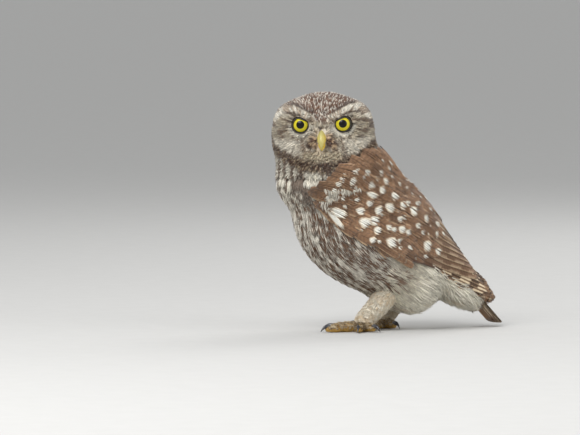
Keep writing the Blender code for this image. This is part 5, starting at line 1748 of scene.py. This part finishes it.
class OWL_OT_stage(bpy.types.Operator):
    """Pale floor, pale surround, soft lights and the camera"""
    bl_idname = "owl.stage"
    bl_label = "Stage"

    def execute(self, context):
        studio = context.scene.owl_studio
        turn = np.linspace(0, 2 * math.pi, 96, endpoint=False)
        rim = np.stack([np.cos(turn), np.sin(turn), np.zeros(96)], -1) * FLOOR_RADIUS
        mesh = bpy.data.meshes.new("floor")
        mesh.from_pydata(rim.tolist(), [], [tuple(range(96))])
        floor = bpy.data.objects.new("floor", mesh)
        context.scene.collection.objects.link(floor)
        mesh.materials.append(finish_named("floor"))
        world = bpy.data.worlds.new("surround")
        world.use_nodes = True
        background = world.node_tree.nodes["Background"]
        background.inputs["Color"].default_value = (0.86, 0.87, 0.88, 1.0)
        background.inputs["Strength"].default_value = studio.sky
        context.scene.world = world
        a, e = studio.azimuth, studio.elevation
        back = Vector((math.sin(a) * math.cos(e), -math.cos(a) * math.cos(e), math.sin(e)))
        right = Vector((math.cos(a), math.sin(a), 0.0))
        aim = Vector((np.array([-44.8, 18.1, 81.8]) + SHIFT) * MM)
        data = bpy.data.cameras.new("camera")
        data.sensor_width = 36.0
        data.lens = 36.0 * studio.distance / studio.frame_width
        data.clip_end = 200.0
        camera = bpy.data.objects.new("camera", data)
        camera.location = aim + back * studio.distance
        camera.rotation_euler = back.to_track_quat("Z", "Y").to_euler()
        context.scene.collection.objects.link(camera)
        context.scene.camera = camera
        context.scene.view_settings.view_transform = "Standard"
        top = Vector((0, 0, 1.0))
        for title, power, size, way in (
                ("key", studio.key, 0.9, back * 0.8 - right * 0.5 + top * 0.9),
                ("fill", studio.fill, 1.2, back * 0.7 + right * 1.0 + top * 0.3),
                ("rim", studio.fill, 0.8, -back * 0.9 + right * 0.5 + top * 0.9)):
            lamp = bpy.data.lights.new(title, "AREA")
            lamp.energy = power
            lamp.size = size
            light = bpy.data.objects.new(title, lamp)
            light.location = Vector((0, 0, 0.08)) + way.normalized() * 1.6
            light.rotation_euler = way.to_track_quat("Z", "Y").to_euler()
            context.scene.collection.objects.link(light)
        return {"FINISHED"}


class OWL_OT_skin(bpy.types.Operator):
    """The skin of head, neck and trunk"""
    bl_idname = "owl.skin"
    bl_label = "Skin"

    def execute(self, context):
        make_skin(the_coat(), finish_named("plumage"))
        return {"FINISHED"}


class OWL_OT_coat(bpy.types.Operator):
    """The feathers of head and trunk"""
    bl_idname = "owl.coat"
    bl_label = "Coat"

    def execute(self, context):
        make_coat(the_coat(), finish_named("plumage"), draws(context, 1), context.scene.owl_plumage)
        return {"FINISHED"}


class OWL_OT_wings(bpy.types.Operator):
    """The folded wings: coverts, flight feathers and what lies under them"""
    bl_idname = "owl.wings"
    bl_label = "Wings"

    def execute(self, context):
        for side, name in SIDES.items():
            rng = draws(context, 2)
            make_wing_skin(side, name, finish_named("plumage"))
            make_flight(side, name, finish_named("vane"), rng)
            make_coverts(side, name, finish_named("vane"), rng, context.scene.owl_plumage)
        return {"FINISHED"}


class OWL_OT_tail(bpy.types.Operator):
    """The tail feathers"""
    bl_idname = "owl.tail"
    bl_label = "Tail"

    def execute(self, context):
        make_tail(finish_named("vane"), draws(context, 3))
        return {"FINISHED"}


class OWL_OT_eyes(bpy.types.Operator):
    """Eyeballs and lids"""
    bl_idname = "owl.eyes"
    bl_label = "Eyes"

    def execute(self, context):
        for side, name in SIDES.items():
            make_eye(side, name, finish_named("eye"))
            make_lids(side, name, finish_named("lid"))
        return {"FINISHED"}


class OWL_OT_bill(bpy.types.Operator):
    """Upper and lower bill"""
    bl_idname = "owl.bill"
    bl_label = "Bill"

    def execute(self, context):
        make_bill(finish_named("bill"))
        return {"FINISHED"}


class OWL_OT_legs(bpy.types.Operator):
    """Feathered legs"""
    bl_idname = "owl.legs"
    bl_label = "Legs"

    def execute(self, context):
        for side, name in SIDES.items():
            make_leg(side, name, finish_named("plumage"), draws(context, 4), context.scene.owl_plumage)
        return {"FINISHED"}


class OWL_OT_feet(bpy.types.Operator):
    """Toes, claws and the bristles on the toes"""
    bl_idname = "owl.feet"
    bl_label = "Feet"

    def execute(self, context):
        for side, name in SIDES.items():
            make_heel(side, name, finish_named("toe"))
            make_foot(side, name, finish_named("toe"), finish_named("claw"), finish_named("plumage"),
                      draws(context, 5), context.scene.owl_plumage)
        return {"FINISHED"}


OPERATORS = (OWL_OT_stage, OWL_OT_skin, OWL_OT_coat, OWL_OT_wings, OWL_OT_tail, OWL_OT_eyes, OWL_OT_bill,
             OWL_OT_legs, OWL_OT_feet)
GROUPS = {"owl_plumage": OWL_PG_plumage, "owl_colours": OWL_PG_colours, "owl_studio": OWL_PG_studio}


class OWL_PT_panel(bpy.types.Panel):
    """Lists the owl's settings and pieces"""
    bl_idname = "OWL_PT_panel"
    bl_label = "Little owl"
    bl_space_type = "VIEW_3D"
    bl_region_type = "UI"
    bl_category = "Owl"

    def draw(self, context):
        for name, group in GROUPS.items():
            box = self.layout.box()
            for key in group.__annotations__:
                box.prop(getattr(context.scene, name), key)
        for operator in OPERATORS:
            self.layout.operator(operator.bl_idname)


def register():
    for group in GROUPS.values():
        bpy.utils.register_class(group)
    for name, group in GROUPS.items():
        setattr(bpy.types.Scene, name, PointerProperty(type=group))
    for operator in OPERATORS:
        bpy.utils.register_class(operator)
    bpy.utils.register_class(OWL_PT_panel)


def unregister():
    bpy.utils.unregister_class(OWL_PT_panel)
    for operator in reversed(OPERATORS):
        bpy.utils.unregister_class(operator)
    for name, group in GROUPS.items():
        delattr(bpy.types.Scene, name)
        bpy.utils.unregister_class(group)


def main():
    register()
    for operator in OPERATORS:
        group, name = operator.bl_idname.split(".")
        getattr(getattr(bpy.ops, group), name)()


if __name__ == "__main__":
    main()
